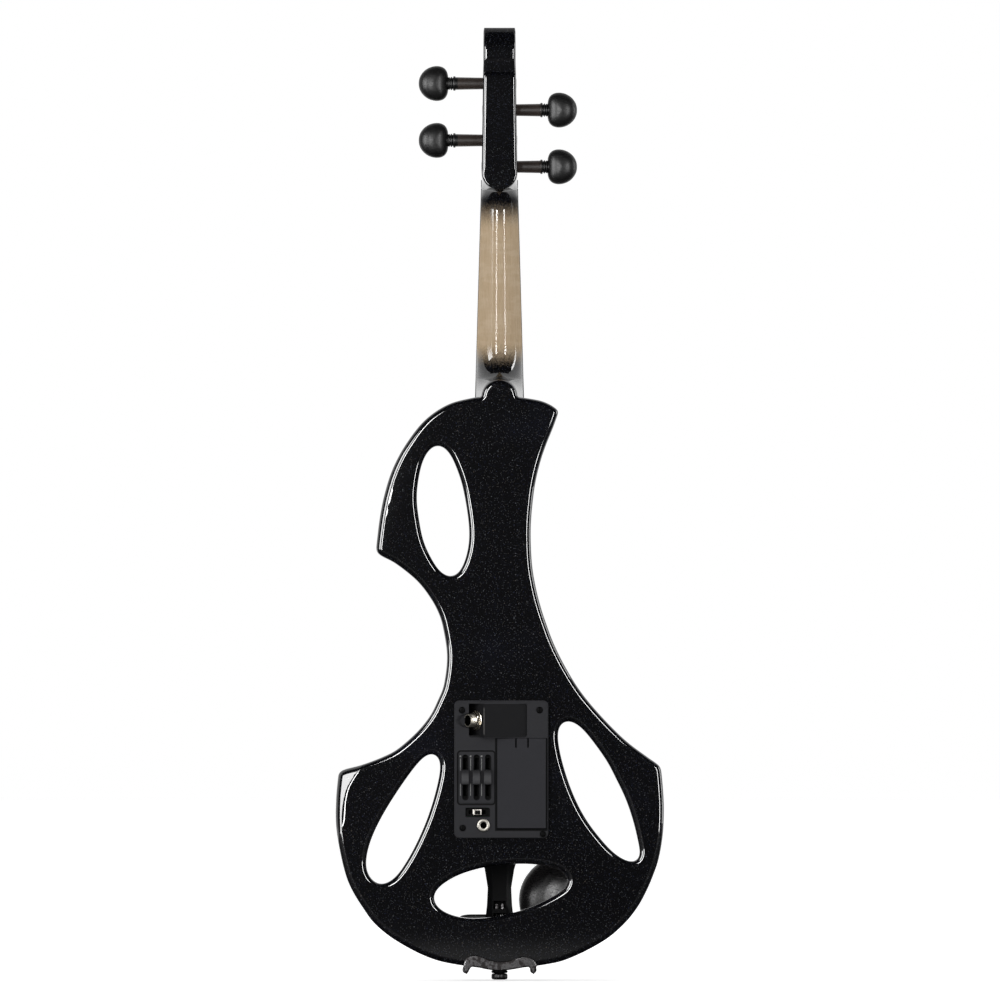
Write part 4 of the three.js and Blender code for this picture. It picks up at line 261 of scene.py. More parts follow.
# %% Maple neck
maple = Finish("maple_neck")
height = maple.axis("Z")
lines = maple.noise(0.5, 3, (1, 1, 0.035))
pores = maple.noise(0.22, 1, (1, 1, 0.08))
curl = maple.noise(5, 2, (0.35, 0.35, 1))
wood = maple.mix(lines, paint(184, 158, 126), paint(216, 194, 163))
wood = maple.mix(curl.step(0.42, 0.7) * 0.35, wood, paint(222, 203, 176))
wood = maple.mix(pores.step(0.6, 0.75) * 0.35, wood, paint(146, 116, 84))
mist = (maple.noise(1.1, 3) - 0.5) * 9
bare = (height + mist).step(380, 396) * (1 - (height + mist).step(465, 484))
flank = abs(maple.axis("X")).step(4.0, 5.2)
rubbed_flank = flank * height.step(388, 396) * (1 - height.step(484, 490))
head_top = height.step(586, 589)
maple.set({
    "Base Color": maple.mix(bare, flakes(maple, BLACK_LACQUER), wood),
    "Roughness": 0.4 + 0.12 * bare + 0.06 * lines,
    "Coat Weight": (1 - 0.8 * bare) * (1 - 0.92 * rubbed_flank) * (1 - 0.8 * head_top),
    "Coat Roughness": 0.05, "Coat IOR": 1.6, "Specular IOR Level": 0.02,
}).bump(lines * bare, 0.012)
print("bare wood from Z 396 to 465 mm")

# %% [markdown]
# ## Ebony, peg wood and cork
#
# The fingerboard, nut, saddle, end button and chin rest are ebony: almost black, with short
# open pores along the grain and a low sheen from handling. The pegs are a paler wood stained
# black, so their shafts show a brown streak. The cork under the chin rest is crumbly.

# %% Woods
def dark_wood(name, dark, streak, along, sheen):
    """Stained wood whose grain runs along one axis."""
    finish = Finish(name)
    draw = [0.05 if letter == along else 1 for letter in "XYZ"]
    grain = finish.noise(0.7, 4, draw)
    pore = finish.noise(0.28, 1, draw).step(0.6, 0.72)
    colour = finish.mix(grain.step(0.35, 0.75), dark, streak)
    finish.colour = finish.mix(pore * 0.6, colour, paint(6, 5, 5))
    finish.set({
        "Base Color": finish.colour, "Roughness": sheen + 0.16 * grain + 0.15 * pore,
        "Specular IOR Level": 0.3,
    })
    return finish.bump(1 - pore, 0.02, 0.7)


ebony = dark_wood("ebony", paint(19, 18, 20), paint(34, 30, 31), "Z", 0.26)
chin_wood = dark_wood("chin_rest_ebony", paint(20, 19, 21), paint(33, 30, 31), "X", 0.2)
peg_wood = dark_wood("peg_wood", paint(11, 11, 12), paint(20, 19, 20), "X", 0.3)
shaft_grain = peg_wood.noise(0.6, 4, (0.05, 1, 1))
shaft = 1 - abs(peg_wood.axis("X")).step(25.6, 26.2)
stain = peg_wood.mix(shaft_grain, paint(44, 37, 34), paint(72, 60, 54))
peg_wood.set({"Base Color": peg_wood.mix(shaft, peg_wood.colour, stain)})

cork = Finish("cork")
crumb = cork.cells(1.1)
cork.set({
    "Base Color": cork.ramp(
        cork.noise(0.8, 4), (0, paint(120, 84, 50)), (0.4, paint(176, 134, 88)),
        (1, paint(205, 168, 118)),
    ),
    "Roughness": 0.85 + 0.1 * crumb,
}).bump(crumb, 0.25)
print("woods", ebony.material.name, chin_wood.material.name, peg_wood.material.name)

# %% [markdown]
# ## Bridge maple
#
# A bridge is cut across the log, so its faces show the short bright flecks of the rays.

# %% Bridge maple
bridge_wood = Finish("bridge_maple")
fleck = bridge_wood.noise(1, 2, (0.25, 1, 1))
ring = bridge_wood.noise(0.6, 3, (1, 0.08, 1))
colour = bridge_wood.mix(ring, paint(196, 158, 108), paint(226, 194, 146))
colour = bridge_wood.mix(fleck.step(0.58, 0.68) * 0.5, colour, paint(172, 128, 82))
bridge_wood.set({"Base Color": colour, "Roughness": 0.48 + 0.14 * ring}).bump(fleck, 0.02)
print("bridge wood ready")

# %% [markdown]
# ## Plastics
#
# The preamp panel and its battery cover are moulded with a fine spark-eroded texture that keeps
# them satin. The scale beside each slider is printed on in pale ink, so it is a mask in the
# panel's own colour and not a piece. The tailpiece and caps are smoother, the gut is nylon.

# %% Plastics
def moulded(name, colour, sheen, texture=0.35, relief=0.02):
    """Moulded plastic with the fine texture of its mould and a few rubbed spots."""
    finish = Finish(name)
    fine = finish.noise(texture)
    rubbed = finish.noise(14, 4).step(0.55, 0.75)
    lighter = tuple(1.35 * c + 0.002 for c in colour)
    finish.set({
        "Base Color": finish.mix(rubbed * 0.35 + fine * 0.25, colour, lighter),
        "Roughness": sheen + 0.1 * fine - 0.08 * rubbed, "Specular IOR Level": 0.03,
    })
    return finish.bump(fine, relief)


def band(value, middle, half, soft=0.06):
    """1 within half of middle, in millimetres, and 0 outside."""
    return 1 - abs(value - middle).step(half - soft, half + soft)


def rounded_distance(across, up, x0, x1, z0, z1, corner):
    """How far a place is outside a rectangle with round corners, in millimetres."""
    over_x = abs(across - (x0 + x1) / 2) - ((x1 - x0) / 2 - corner)
    over_z = abs(up - (z0 + z1) / 2) - ((z1 - z0) / 2 - corner)
    outside = (over_x.most(0) ** 2 + over_z.most(0) ** 2) ** 0.5
    return outside + over_x.most(over_z).least(0) - corner


black_plastic = moulded("black_plastic", paint(22, 22, 24), 0.28, 0.3, 0.006)
screw_finish = moulded("blackened_screw", paint(12, 12, 13), 0.4, 0.2, 0.01)
nylon = moulded("nylon_gut", paint(24, 24, 25), 0.36, 0.5, 0.01)
print("plain plastics", black_plastic.material.name, nylon.material.name)

# %% Panel, cover and caps
PANEL_GREY = paint(54, 54, 57)
COVER_GREY = paint(54, 54, 58)
SCALE_COLUMNS = (460.4, 470.6, 481.6)
SLIDER_COLUMNS = (465.4, 476.6, 488.1)
panel = moulded("panel_plastic", PANEL_GREY, 0.5)
across, up = panel.axis("X"), panel.axis("Z")
on_face = panel.axis("Y").step(17.3, 17.5)
line_rows = band(up, 125.9, 11.6) * (1 - band(up, 125.9, 4.2, 0.5))
ink = line_rows * 0
for column in SCALE_COLUMNS:
    middle = (MIDDLE_COLUMN - column) * PIXEL
    mark = band(across, middle, 0.5, 0.15) * band(up, 138.8, 0.5, 0.15)
    ink = ink.most(band(across, middle, 0.2, 0.1) * line_rows).most(mark)
# Painted shade: grooves, slider slots, switch slot and cover recess are darkened near black.
groove = 1 - abs(rounded_distance(across, up, 2.8, 26, 108.9, 142.1, 2)).step(0.3, 0.65)
for column in SLIDER_COLUMNS:
    middle = (MIDDLE_COLUMN - column) * PIXEL
    track = rounded_distance(across, up, middle - 2.05, middle + 2.05, 111.4, 139.9, 2)
    groove = groove.most(1 - track.step(-0.3, 0.2))
slot = 1 - rounded_distance(across, up, 5.9, 21.1, 101.1, 106.7, 0.9).step(-0.2, 0.3)
rim = rounded_distance(across, up, -29.9, 2.9, 92.4, 150.1, 0.5)
groove = groove.most(1 - rim.step(-0.3, 0.2))
# Painted shade: the recessed jack pocket is painted a darker grey.
pocket = 1 - rounded_distance(across, up, -16.9, 18.9, 150.6, 171.3, 1.4).step(-0.1, 0.2)
# Painted highlight: a pale line along the ridge beside the jack.
ridge = band(across, 9.6, 0.35, 0.2) * band(up, 160.6, 8.2, 0.8)
worn = panel.noise(0.7).step(0.3, 0.55)
base = panel.mix(panel.noise(0.35) * 0.35, PANEL_GREY, paint(61, 61, 64))
# Painted shade, near black, in the grooves, slots and cover recess.
base = panel.mix(groove.most(slot) * 0.92, base, paint(14, 14, 15))
base = panel.mix(pocket, base, paint(32, 32, 34))
base = panel.mix(ridge * 0.8, base, paint(98, 97, 96))
base = panel.mix(ink * on_face * (0.4 + 0.3 * worn), base, paint(168, 168, 166))
panel.set({"Base Color": base})

cover = moulded("cover_plastic", COVER_GREY, 0.48)
# Painted shade: the cover's edge is darkened all round, along its seam.
rim = rounded_distance(cover.axis("X"), cover.axis("Z"), -28.6, 1.3, 94.4, 152, 0.4)
base = cover.mix(cover.noise(0.35) * 0.3, COVER_GREY, paint(63, 63, 67))
cover.set({"Base Color": cover.mix(rim.step(-0.2, 0.3) * 0.8, base, paint(15, 15, 16))})
cap_plastic = moulded("slider_cap_plastic", paint(42, 42, 44), 0.45, 0.25, 0.01)
# Painted highlight: a lighter band across the middle of each cap.
cap_middle_highlight = band(cap_plastic.axis("Z"), 125.2, 3, 2.4)
cap_plastic.set({"Base Color": cap_plastic.mix(cap_middle_highlight, paint(40, 40, 42), paint(80, 80, 82))})
print("panel grey", [round(v, 3) for v in PANEL_GREY])

# %% [markdown]
# ## Metals
#
# Plated nickel is warm and soft, with hairline scratches. The chin-rest clamp is the same
# nickel, but old: it has gone brown and dull in patches, and shines only where it was handled.

# %% Metals
def metal(name, bright, dull, rough, patches):
    """Plated metal. Patches is the share that has gone dull."""
    finish = Finish(name, Metallic=1.0)
    scratch = finish.noise(0.12, 2, (1, 1, 0.04))
    patch = finish.noise(2.6, 4).step(0.62 - patches * 0.4, 0.78 - patches * 0.3)
    finish.set({
        "Base Color": finish.mix(patch, bright, dull),
        "Roughness": rough + 0.12 * scratch + 0.22 * patch,
    })
    return finish.bump(scratch, 0.003)


def darken(finish, mask, bright, deep):
    """Turns metal almost black where the mask is 1. In a bore that is painted shade."""
    return finish.set({"Base Color": finish.mix(mask, bright, deep)})


WARM, DULLED = paint(206, 200, 188), paint(170, 160, 142)
nickel = metal("nickel", WARM, DULLED, 0.14, 0.2)
dark_nickel = metal("dark_nickel", paint(88, 87, 88), paint(34, 32, 32), 0.2, 0.6)
steel = metal("steel", paint(208, 209, 212), paint(172, 173, 178), 0.2, 0.2)
aux_nickel = metal("aux_jack_nickel", WARM, DULLED, 0.36, 0.2)
# Painted shade: the aux jack's bore is painted almost black.
bore_shade = 1 - aux_nickel.axis("Y").step(17.5, 17.9)
darken(aux_nickel, bore_shade, paint(132, 129, 123), paint(12, 12, 12))
switch_nickel = metal("switch_nickel", paint(200, 196, 188), paint(160, 152, 140), 0.25, 0.2)
lever_face = band(switch_nickel.axis("X"), 13.6, 1.7, 0.2)
lever_face = lever_face * band(switch_nickel.axis("Z"), 104, 1.3, 0.2)
darken(switch_nickel, lever_face, paint(178, 174, 168), paint(16, 16, 16))

# A wound string is a flat ribbon round a core, so it has fine ribs across its length.
wound_steel = Finish("wound_string", Metallic=1.0)
rib = wound_steel.node("TexWave", {"bands_direction": "Z"}, {
    "Vector": wound_steel.place, "Scale": 1000 / 0.9, "Distortion": 0.0,
})
# The colour darkens into the grooves between ribs: painted shade.
wound_steel.set({
    "Base Color": wound_steel.mix(rib, paint(150, 151, 155), paint(214, 215, 218)),
    "Roughness": 0.26 + 0.1 * rib,
}).bump(rib, 0.03)
print("metals ready")

# %% [markdown]
# ## Inside the preamp
#
# The circuit board and the battery are seen only when the cover stands open or from the side,
# but they still get what they have: solder mask over copper tracks, the black case of the slide
# pots that stand on it, and a printed steel shell.

# %% Board and battery
board_green = Finish("circuit_board")
track = board_green.cells(2.4, draw=(1, 1, 0.3)).step(0.3, 0.45)
mask_green = board_green.mix(track, paint(22, 84, 52), paint(36, 112, 70))
pot_case = board_green.axis("Y").step(9.7, 9.8)
board_green.set({
    "Base Color": board_green.mix(pot_case, mask_green, paint(13, 13, 14)),
    "Roughness": 0.32 + 0.2 * board_green.noise(1.5) + 0.2 * pot_case,
    "Specular IOR Level": 0.06,
}).bump(track, 0.03)

battery_shell = Finish("battery_shell", Metallic=0.6)
top_band = battery_shell.axis("Z").step(128, 129)
battery_shell.set({
    "Base Color": battery_shell.mix(top_band, paint(58, 60, 64), paint(164, 128, 74)),
    "Roughness": 0.3 + 0.15 * battery_shell.noise(3, 3),
}).bump(battery_shell.noise(6), 0.02)
print("inside finishes ready")

# %% [markdown]
# ## Making a mesh
#
# Each finer piece is first a shape: its points in millimetres, and its faces. The make function
# turns a shape into an object in metres, shades it smooth except along true edges, gives it its
# finish, and lets it ride on the body it belongs to.

# %% From a shape to a piece
def clean(mesh, sharp):
    mesh.validate()
    mesh.polygons.foreach_set("use_smooth", [True] * len(mesh.polygons))
    mesh.set_sharp_from_angle(angle=math.radians(sharp))


def make(name, shape, finish, node=None, body="instrument", sharp=35):
    """A piece that stands for a node of the solids, or a cutter that stands for none."""
    points, faces = shape
    mesh = bpy.data.meshes.new(name)
    mesh.from_pydata([[c / 1000 for c in p] for p in points], [], faces)
    build = bmesh.new()
    build.from_mesh(mesh)
    bmesh.ops.remove_doubles(build, verts=build.verts, dist=1e-7)
    bmesh.ops.recalc_face_normals(build, faces=build.faces)
    build.to_mesh(mesh)
    build.free()
    clean(mesh, sharp)
    mesh.materials.append(finish.material)
    piece = bpy.data.objects.new(name, mesh)
    scene.collection.objects.link(piece)
    if body:
        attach(piece, body)
    if node:
        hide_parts(node)
    return piece


def bake(piece):
    """Keeps what its modifiers make of a piece, and takes them off."""
    bpy.context.view_layer.update()
    graph = bpy.context.evaluated_depsgraph_get()
    whole = bpy.data.meshes.new_from_object(piece.evaluated_get(graph))
    piece.modifiers.clear()
    old = piece.data
    piece.data = whole
    bpy.data.meshes.remove(old)


def cut(piece, sharp, *cutters):
    """Takes the cutters out of the piece, one after another."""
    for shape in cutters:
        tool = make("cutter", shape, lacquer, body=None)
        step = piece.modifiers.new("cut", "BOOLEAN")
        step.operation = "DIFFERENCE"
        step.solver = "EXACT"
        step.object = tool
        bake(piece)
        bpy.data.objects.remove(tool)
    clean(piece.data, sharp)


print("pieces can be made and cut")

# %% Plain shapes
def angles(count):
    return [2 * math.pi * i / count for i in range(count)]


def circle(middle, side, up_way, radius, count):
    """A ring of points. The radius is a number or depends on the angle."""
    ring = []
    for a in angles(count):
        far = radius(a) if callable(radius) else radius
        ring.append(middle + side * (far * math.cos(a)) + up_way * (far * math.sin(a)))
    return ring


def loft(rings, closed_ends=True):
    """Rings with alike counts of points, skinned in order."""
    count = len(rings[0])
    points = [p for ring in rings for p in ring]
    faces = []
    for a in range(0, len(points) - count, count):
        for i in range(count):
            k = (i + 1) % count
            faces.append((a + i, a + k, a + count + k, a + count + i))
    if closed_ends:
        faces.append(tuple(range(count))[::-1])
        faces.append(tuple(range(len(points) - count, len(points))))
    return points, faces


def lathe(rows, start, direction, sides=48):
    """A turned piece. Each row is a radius and a distance along the axis."""
    along = Vector(direction).normalized()
    side = along.orthogonal().normalized()
    up_way = along.cross(side)
    return loft([
        circle(Vector(start) + along * distance, side, up_way, radius, sides)
        for radius, distance in rows
    ])


def tube(path, radius, sides=14):
    """A round wire through the points, its rings kept square to the way it runs."""
    path = [Vector(p) for p in path]
    rings, side = [], None
    for i, point in enumerate(path):
        into = (point - path[max(i - 1, 0)]).normalized()
        out = (path[min(i + 1, len(path) - 1)] - point).normalized()
        along = (into + out).normalized()
        if side is None:
            side = along.orthogonal().normalized()
        side = (side - along * side.dot(along)).normalized()
        rings.append(circle(point, side, along.cross(side), radius, sides))
    return loft(rings)


def merge(*shapes):
    """Several shapes as one."""
    points, faces = [], []
    for more_points, more_faces in shapes:
        start = len(points)
        points.extend(more_points)
        faces.extend(tuple(i + start for i in face) for face in more_faces)
    return points, faces


def block(x0, x1, y0, y1, z0, z1):
    points = [(x, y, z) for x in (x0, x1) for y in (y0, y1) for z in (z0, z1)]
    faces = [(0, 1, 3, 2), (4, 6, 7, 5), (0, 4, 5, 1), (2, 3, 7, 6), (0, 2, 6, 4), (1, 5, 7, 3)]
    return points, faces


print("plain shapes ready")

# %% [markdown]
# ## Outlines and rounded slabs
#
# The body is a flat plank whose edges are rounded over, and which falls away gently towards the
# left points. That is a height that depends only on how far a point is from the edge. So the
# plank is meshed with rings of points beside its outline and a looser grid inside, joined by a
# Delaunay triangulation, and each point is lowered by its distance to the edge.

# %% Outlines
def photo_point(pixel):
    column, row = pixel
    return ((MIDDLE_COLUMN - column) * PIXEL, BODY_BOTTOM + (BOTTOM_ROW - row) * PIXEL)


def curve_through(points, closed, steps=12):
    """A Catmull-Rom curve through the points."""
    points = [np.array(p, float) for p in points]
    count = len(points)
    found = []
    for i in range(count if closed else count - 1):
        near = [i + k for k in (-1, 0, 1, 2)]
        if not closed:
            near = [min(max(k, 0), count - 1) for k in near]
        a, b, c, d = (points[k % count] for k in near)
        for t in (k / steps for k in range(steps)):
            found.append(0.5 * (
                2 * b + (c - a) * t + (2 * a - 5 * b + 4 * c - d) * t * t
                + (3 * b - a - 3 * c + d) * t ** 3
            ))
    if not closed:
        found.append(points[-1])
    return found


def even_loop(points, spacing, smoothing=0):
    """A closed loop with evenly spaced points, and its small bumps smoothed away."""
    loop = np.array(points, float)
    for _ in range(2):
        ends = np.roll(loop, -1, axis=0)
        lengths = np.hypot(*(ends - loop).T)
        travel = np.concatenate([[0], np.cumsum(lengths)])
        count = max(int(travel[-1] / spacing), 8)
        wanted = np.linspace(0, travel[-1], count, endpoint=False)
        closed = np.vstack([loop, loop[:1]])
        loop = np.column_stack([np.interp(wanted, travel, closed[:, k]) for k in (0, 1)])
        for _ in range(smoothing):
            loop = 0.5 * loop + 0.25 * (np.roll(loop, 1, axis=0) + np.roll(loop, -1, axis=0))
    return loop


def outward(loop, hole):
    """Unit normals that point away from the material."""
    way = np.roll(loop, -1, axis=0) - np.roll(loop, 1, axis=0)
    normal = np.column_stack([way[:, 1], -way[:, 0]])
    normal /= np.linalg.norm(normal, axis=1)[:, None]
    area = np.sum(loop[:, 0] * np.roll(loop[:, 1], -1) - np.roll(loop[:, 0], -1) * loop[:, 1])
    return normal if (area > 0) != hole else -normal


def edge_distance(points, loops):
    """How far each point is from the nearest stretch of any loop."""
    best = np.full(len(points), np.inf)
    for loop in loops:
        for a, b in zip(loop, np.roll(loop, -1, axis=0)):
            way = b - a
            t = np.clip(((points - a) @ way) / max(way @ way, 1e-12), 0, 1)
            best = np.minimum(best, np.hypot(*(points - a - t[:, None] * way).T))
    return best


def inside(points, loop):
    """Which points lie within the loop."""
    found = np.zeros(len(points), bool)
    for (x0, z0), (x1, z1) in zip(loop, np.roll(loop, -1, axis=0)):
        if z0 != z1:
            crosses = (points[:, 1] > z0) != (points[:, 1] > z1)
            at = x0 + (points[:, 1] - z0) * (x1 - x0) / (z1 - z0)
            found ^= crosses & (points[:, 0] < at)
    return found


def in_material(points, loops):
    """Which points lie within the outline and in none of the openings."""
    found = inside(points, loops[0])
    for loop in loops[1:]:
        found &= ~inside(points, loop)
    return found


print("outline helpers ready")

# %% Slabs
RING_SHARES = (0.015, 0.05, 0.11, 0.18, 0.27, 0.37, 0.48, 0.6, 0.73, 0.87, 1, 1.08)


def rounding(gap, radius):
    """How deep a round edge has dropped, from the distance to the edge."""
    reach = np.clip(1 - gap / radius, 0, 1)
    return radius * (1 - np.sqrt(np.clip(1 - reach ** 2, 0, 1)))


def slab(loops, back, front, round_back, round_front, grid=9, fall=None, dense=None):
    """A plank with rounded edges. The first loop is its outline and the others are openings.

    Fall lowers the back at the points it is given. Dense is a box with a finer grid: x from and
    to, z from and to, and the step.
    """
    rim = np.vstack(loops)
    rows = [rim]
    for number, loop in enumerate(loops):
        normal = outward(loop, number > 0)
        for share in RING_SHARES:
            ring = loop - normal * share * round_back
            rows.append(ring[edge_distance(ring, [loop]) > 0.93 * share * round_back])
    low, high = rim.min(0), rim.max(0)
    xs = np.arange(low[0] + grid / 2, high[0], grid)
    zs = np.arange(low[1] + grid / 2, high[1], grid)
    lattice = [(x + (grid / 2 if k % 2 else 0), z) for k, z in enumerate(zs) for x in xs]
    if dense:
        x0, x1, z0, z1, step = dense
        lattice += [(x, z) for x in np.arange(x0, x1, step) for z in np.arange(z0, z1, step)]
    lattice = np.array(lattice)
    lattice = lattice[in_material(lattice, loops)]
    clear = round_back * 1.12 + (0.3 if dense else grid * 0.35)
    rows.append(lattice[edge_distance(lattice, loops) > clear])
    bounds, start = [], 0
    for loop in loops:
        bounds += [(start + i, start + (i + 1) % len(loop)) for i in range(len(loop))]
        start += len(loop)
    flat = [Vector(p) for p in np.vstack(rows)]
    found = geometry.delaunay_2d_cdt(flat, bounds, [], 0, 1e-6)
    places = np.array([tuple(p) for p in found[0]])
    middles = np.array([places[list(face)].mean(0) for face in found[2]])
    faces = [face for face, kept in zip(found[2], in_material(middles, loops)) if kept]
    gap = edge_distance(places, loops)
    gap[:len(rim)] = 0
    drop = rounding(gap, round_back)
    if fall:
        drop = drop + fall(places)
    total = len(places)
    points = [(x, back - d, z) for (x, z), d in zip(places, drop)]
    points += [(x, front + d, z) for (x, z), d in zip(places, rounding(gap, round_front))]
    skin = [tuple(face) for face in faces]
    skin += [tuple(i + total for i in reversed(face)) for face in faces]
    skin += [(b, a, a + total, b + total) for a, b in bounds]
    return points, skin


print("slab helpers ready")

# %% [markdown]
# ## Body
#
# The outline and the four openings are read from the photograph, with its corners rounded as
# they are there. The heel's button is part of the outline, and the cut for the neck then leaves
# it thin. After the plank come the cuts: neck, preamp, saddle and button hole.

# %% Body outline
upper_left = [
    (476, 397), (449, 404), (425, 420), (406, 444), (393, 468), (385, 492), (380, 516),
    (376.6, 543), (376.2, 550),
]
waist_left = [
    (377.4, 553), (382, 556.5), (396, 564), (416, 580), (429, 596), (438, 612), (443, 628),
    (447, 656), (444, 684), (438, 700), (430, 716), (417, 732), (399, 748), (385, 756),
    (363, 764.5), (346, 769), (340.6, 771.4),
]
lower = [
    (339, 773.2), (338, 777), (336, 800), (336, 826), (340, 852), (346, 876), (353, 892),
    (363, 908), (375, 924), (395, 940), (425, 956), (453, 964), (500, 969), (549, 964), (575, 956),
    (605, 940), (624, 924), (637, 908), (646, 892), (653, 876), (659, 858), (663, 834), (664, 808),
    (663, 788), (661.5, 772), (660.6, 768),
]
waist_right = [
    (659.2, 765.6), (655.5, 762.6), (646, 756), (625, 740), (601, 716), (581, 692), (566, 668),
    (554, 644), (545, 620), (540, 604), (536, 588), (532.5, 568), (531, 546), (531, 524),
    (533, 500), (536, 480), (541, 460), (546.5, 444), (553, 428), (557, 417), (558.4, 412.6),
]
upper_right = [(558, 410.6), (556, 408.5), (550, 404.5), (540, 400.5), (523, 397.5)]
button_arc = [
    (MIDDLE_COLUMN + 18.1 * math.cos(a), 397 - 18 * math.sin(a))
    for a in (math.pi * i / 16 for i in range(17))
]
openings = [
    [(437.5, 443.5), (449, 452), (456.5, 468), (462, 484), (466, 504), (468.8, 524), (469.2, 540),
     (466.5, 556), (460, 572), (451.5, 578), (440, 572), (430, 556), (423, 540), (418.5, 516),
     (416.6, 497), (419, 476), (423, 460), (428, 451)],
    [(434, 752), (440, 758), (440.5, 768), (438.5, 780), (434, 798), (427.5, 818), (420, 836),
     (410, 856), (397, 876), (388, 883), (380, 885.7), (371, 880), (366, 870), (366, 860),
     (369.5, 844), (376, 828), (384.5, 812), (395, 795), (408, 776), (418, 763), (427, 754)],
    [(568, 719.6), (577, 724), (585, 731.5), (597, 747), (608, 763), (616, 779), (624, 795),
     (630, 811), (635, 828), (638.5, 844), (640.8, 854), (640, 860), (635.4, 863.3), (626, 861),
     (613, 852.5), (599, 837), (587, 821), (578, 805), (571, 789), (565.5, 773), (561, 757),
     (558, 741), (557.7, 730), (561, 722)],
    [(514, 864), (495, 865.5), (475, 869.5), (456, 876), (442, 884.5), (434, 892), (432.4, 899),
     (437, 907.5), (448, 914), (462, 917.8), (476, 918.5), (495, 916.8), (515, 912.5), (535, 905.5),
     (552, 897), (565, 889), (570, 883), (567, 875), (557, 868.5), (540, 864.8), (527, 863.8)],
]


def body_loops():
    outline = []
    for stretch in (upper_left, waist_left, lower, waist_right, upper_right):
        outline += curve_through([photo_point(p) for p in stretch], closed=False)
    outline += [photo_point(p) for p in button_arc]
    return [even_loop(outline, 0.85, 1)] + [
        even_loop(curve_through([photo_point(p) for p in pixels], closed=True), 1.2, 12)
        for pixels in openings
    ]


loops = body_loops()
print("points on the outline", len(loops[0]), "on the openings", [len(loop) for loop in loops[1:]])

# %% Body mesh and cuts
FRONT = -15
BODY_TOP = BODY_BOTTOM + (BOTTOM_ROW - 397) * PIXEL
NUT_Z = BODY_TOP + 130
BRIDGE_Z = NUT_Z - 328
BOARD_LENGTH = 270
GLUE_SLOPE = (28.6 - 16.3) / BOARD_LENGTH
WIDTH_SLOPE = (19.2 - 11.5) / BOARD_LENGTH


def glue_at(z):
    return -16.3 - (NUT_Z - z) * GLUE_SLOPE


def board_half_at(z):
    return 11.5 + (NUT_Z - z) * WIDTH_SLOPE


def left_fall(places):
    """The back falls away at the upper left edge, and beyond a fold at the lower left point."""
    x, z = places.T
    upper_bout = np.exp(-((z - 300) / 42) ** 2) * np.clip((x - 30) / 25, 0, 1)
    near = np.clip(1 - edge_distance(places, [loops[0]]) / (4 + 3.5 * upper_bout), 0, 1)
    fold = np.interp(
        z, [82, 90, 99, 108, 115, 119.7, 124, 128, 131, 134],
        [101, 98.8, 96.9, 96.2, 95.1, 93.6, 91.2, 88.5, 86.5, 84.5],
    )
    beyond = np.where(z > 60, np.maximum(x - fold, 0), 0)
    return 1.1 * upper_bout * near ** 2 + 0.42 * (np.hypot(beyond, 0.3) - 0.3)


fold_box = (82, 102, 80, 136, 1.3)
body = make(
    "lacquered_body", slab(loops, BACK, FRONT, 3.4, 2.6, fall=left_fall, dense=fold_box), lacquer,
    "body",
)
mortise = board_half_at(BODY_TOP)
cut(
    body, 32,
    block(-mortise, mortise, FRONT - 2, 10.6, BODY_TOP - 6.3, BODY_TOP + 20),
    block(-29.4, 25.8, -7.5, BACK + 2, 93.3, 172.9),
    block(-14.3, 14.3, FRONT - 2, -9.7, BODY_BOTTOM - 2, 14.3),
    lathe([(3.9, 0), (3.9, 36)], (0, 0, BODY_BOTTOM - 2), (0, 0, 1)),
)
print("body faces", len(body.data.polygons))

# %% [markdown]
# ## Neck, pegbox and head
#
# The neck is a skin over cross sections along Z. A section runs from the glued front face up one
# flank, over a flat top and down again: a half ellipse on the shaft, a box with soft corners at
# the pegbox. Flank, corner and top keep their own counts of points, so no edge strays.

# %% Cross sections
PEG_ROWS = [
    # note, side, height over the nut, lift, winding start, string radius
    ("g", -1, 13.1, 8, 1.6, 0.4), ("d", -1, 48.3, 4.6, 1.2, 0.38),
    ("a", 1, 64.8, 3.2, 1.2, 0.34), ("e", 1, 29.5, 6.8, 1.6, 0.16),
]
CREASE = 71.9  # height over the nut of the crease between pegbox and head


def between(a, b, share):
    return a + (b - a) * share


def hollow(s):
    return 1 - math.sqrt(max(1 - s * s, 0))


def bulge(s):
    return math.sqrt(max(1 - (1 - s) ** 2, 0))


def pegbox_half(z):
    return between(11.3, 10.4, min(max((z - NUT_Z - 9.3) / (CREASE - 9.3), 0), 1))


def section(z, front, back, half, top=0, bow=1, soft=1.6):
    """One cross section: two flanks that rise from the front face to a flat top.

    A flank is straight where bow is 1 and a quarter of an ellipse where bow is 2.
    """
    way = Vector((half - top, front - back))
    soft = min(soft, top, way.length / 3)
    corner = Vector((top, back))
    start = corner + way.normalized() * soft
    side = []
    for a in (math.pi * i / 48 for i in range(25)):
        c, r = max(math.cos(a), 0), math.sin(a)
        side.append((
            start.x + (half - start.x) * c ** (2 / bow), front + (start.y - front) * r ** (2 / bow),
        ))
    end = Vector((top - soft, back))
    for t in (i / 8 for i in range(1, 9)):
        side.append(tuple(start * (1 - t) ** 2 + corner * (2 * t * (1 - t)) + end * t ** 2))
    side += [(end.x * (1 - i / 4), back) for i in range(1, 5)]
    return [(x, y, z) for x, y in side] + [(-x, y, z) for x, y in reversed(side[:-1])]


print("pegs", [row[0] for row in PEG_ROWS], "pegbox", round(NUT_Z + CREASE, 1), "mm up")

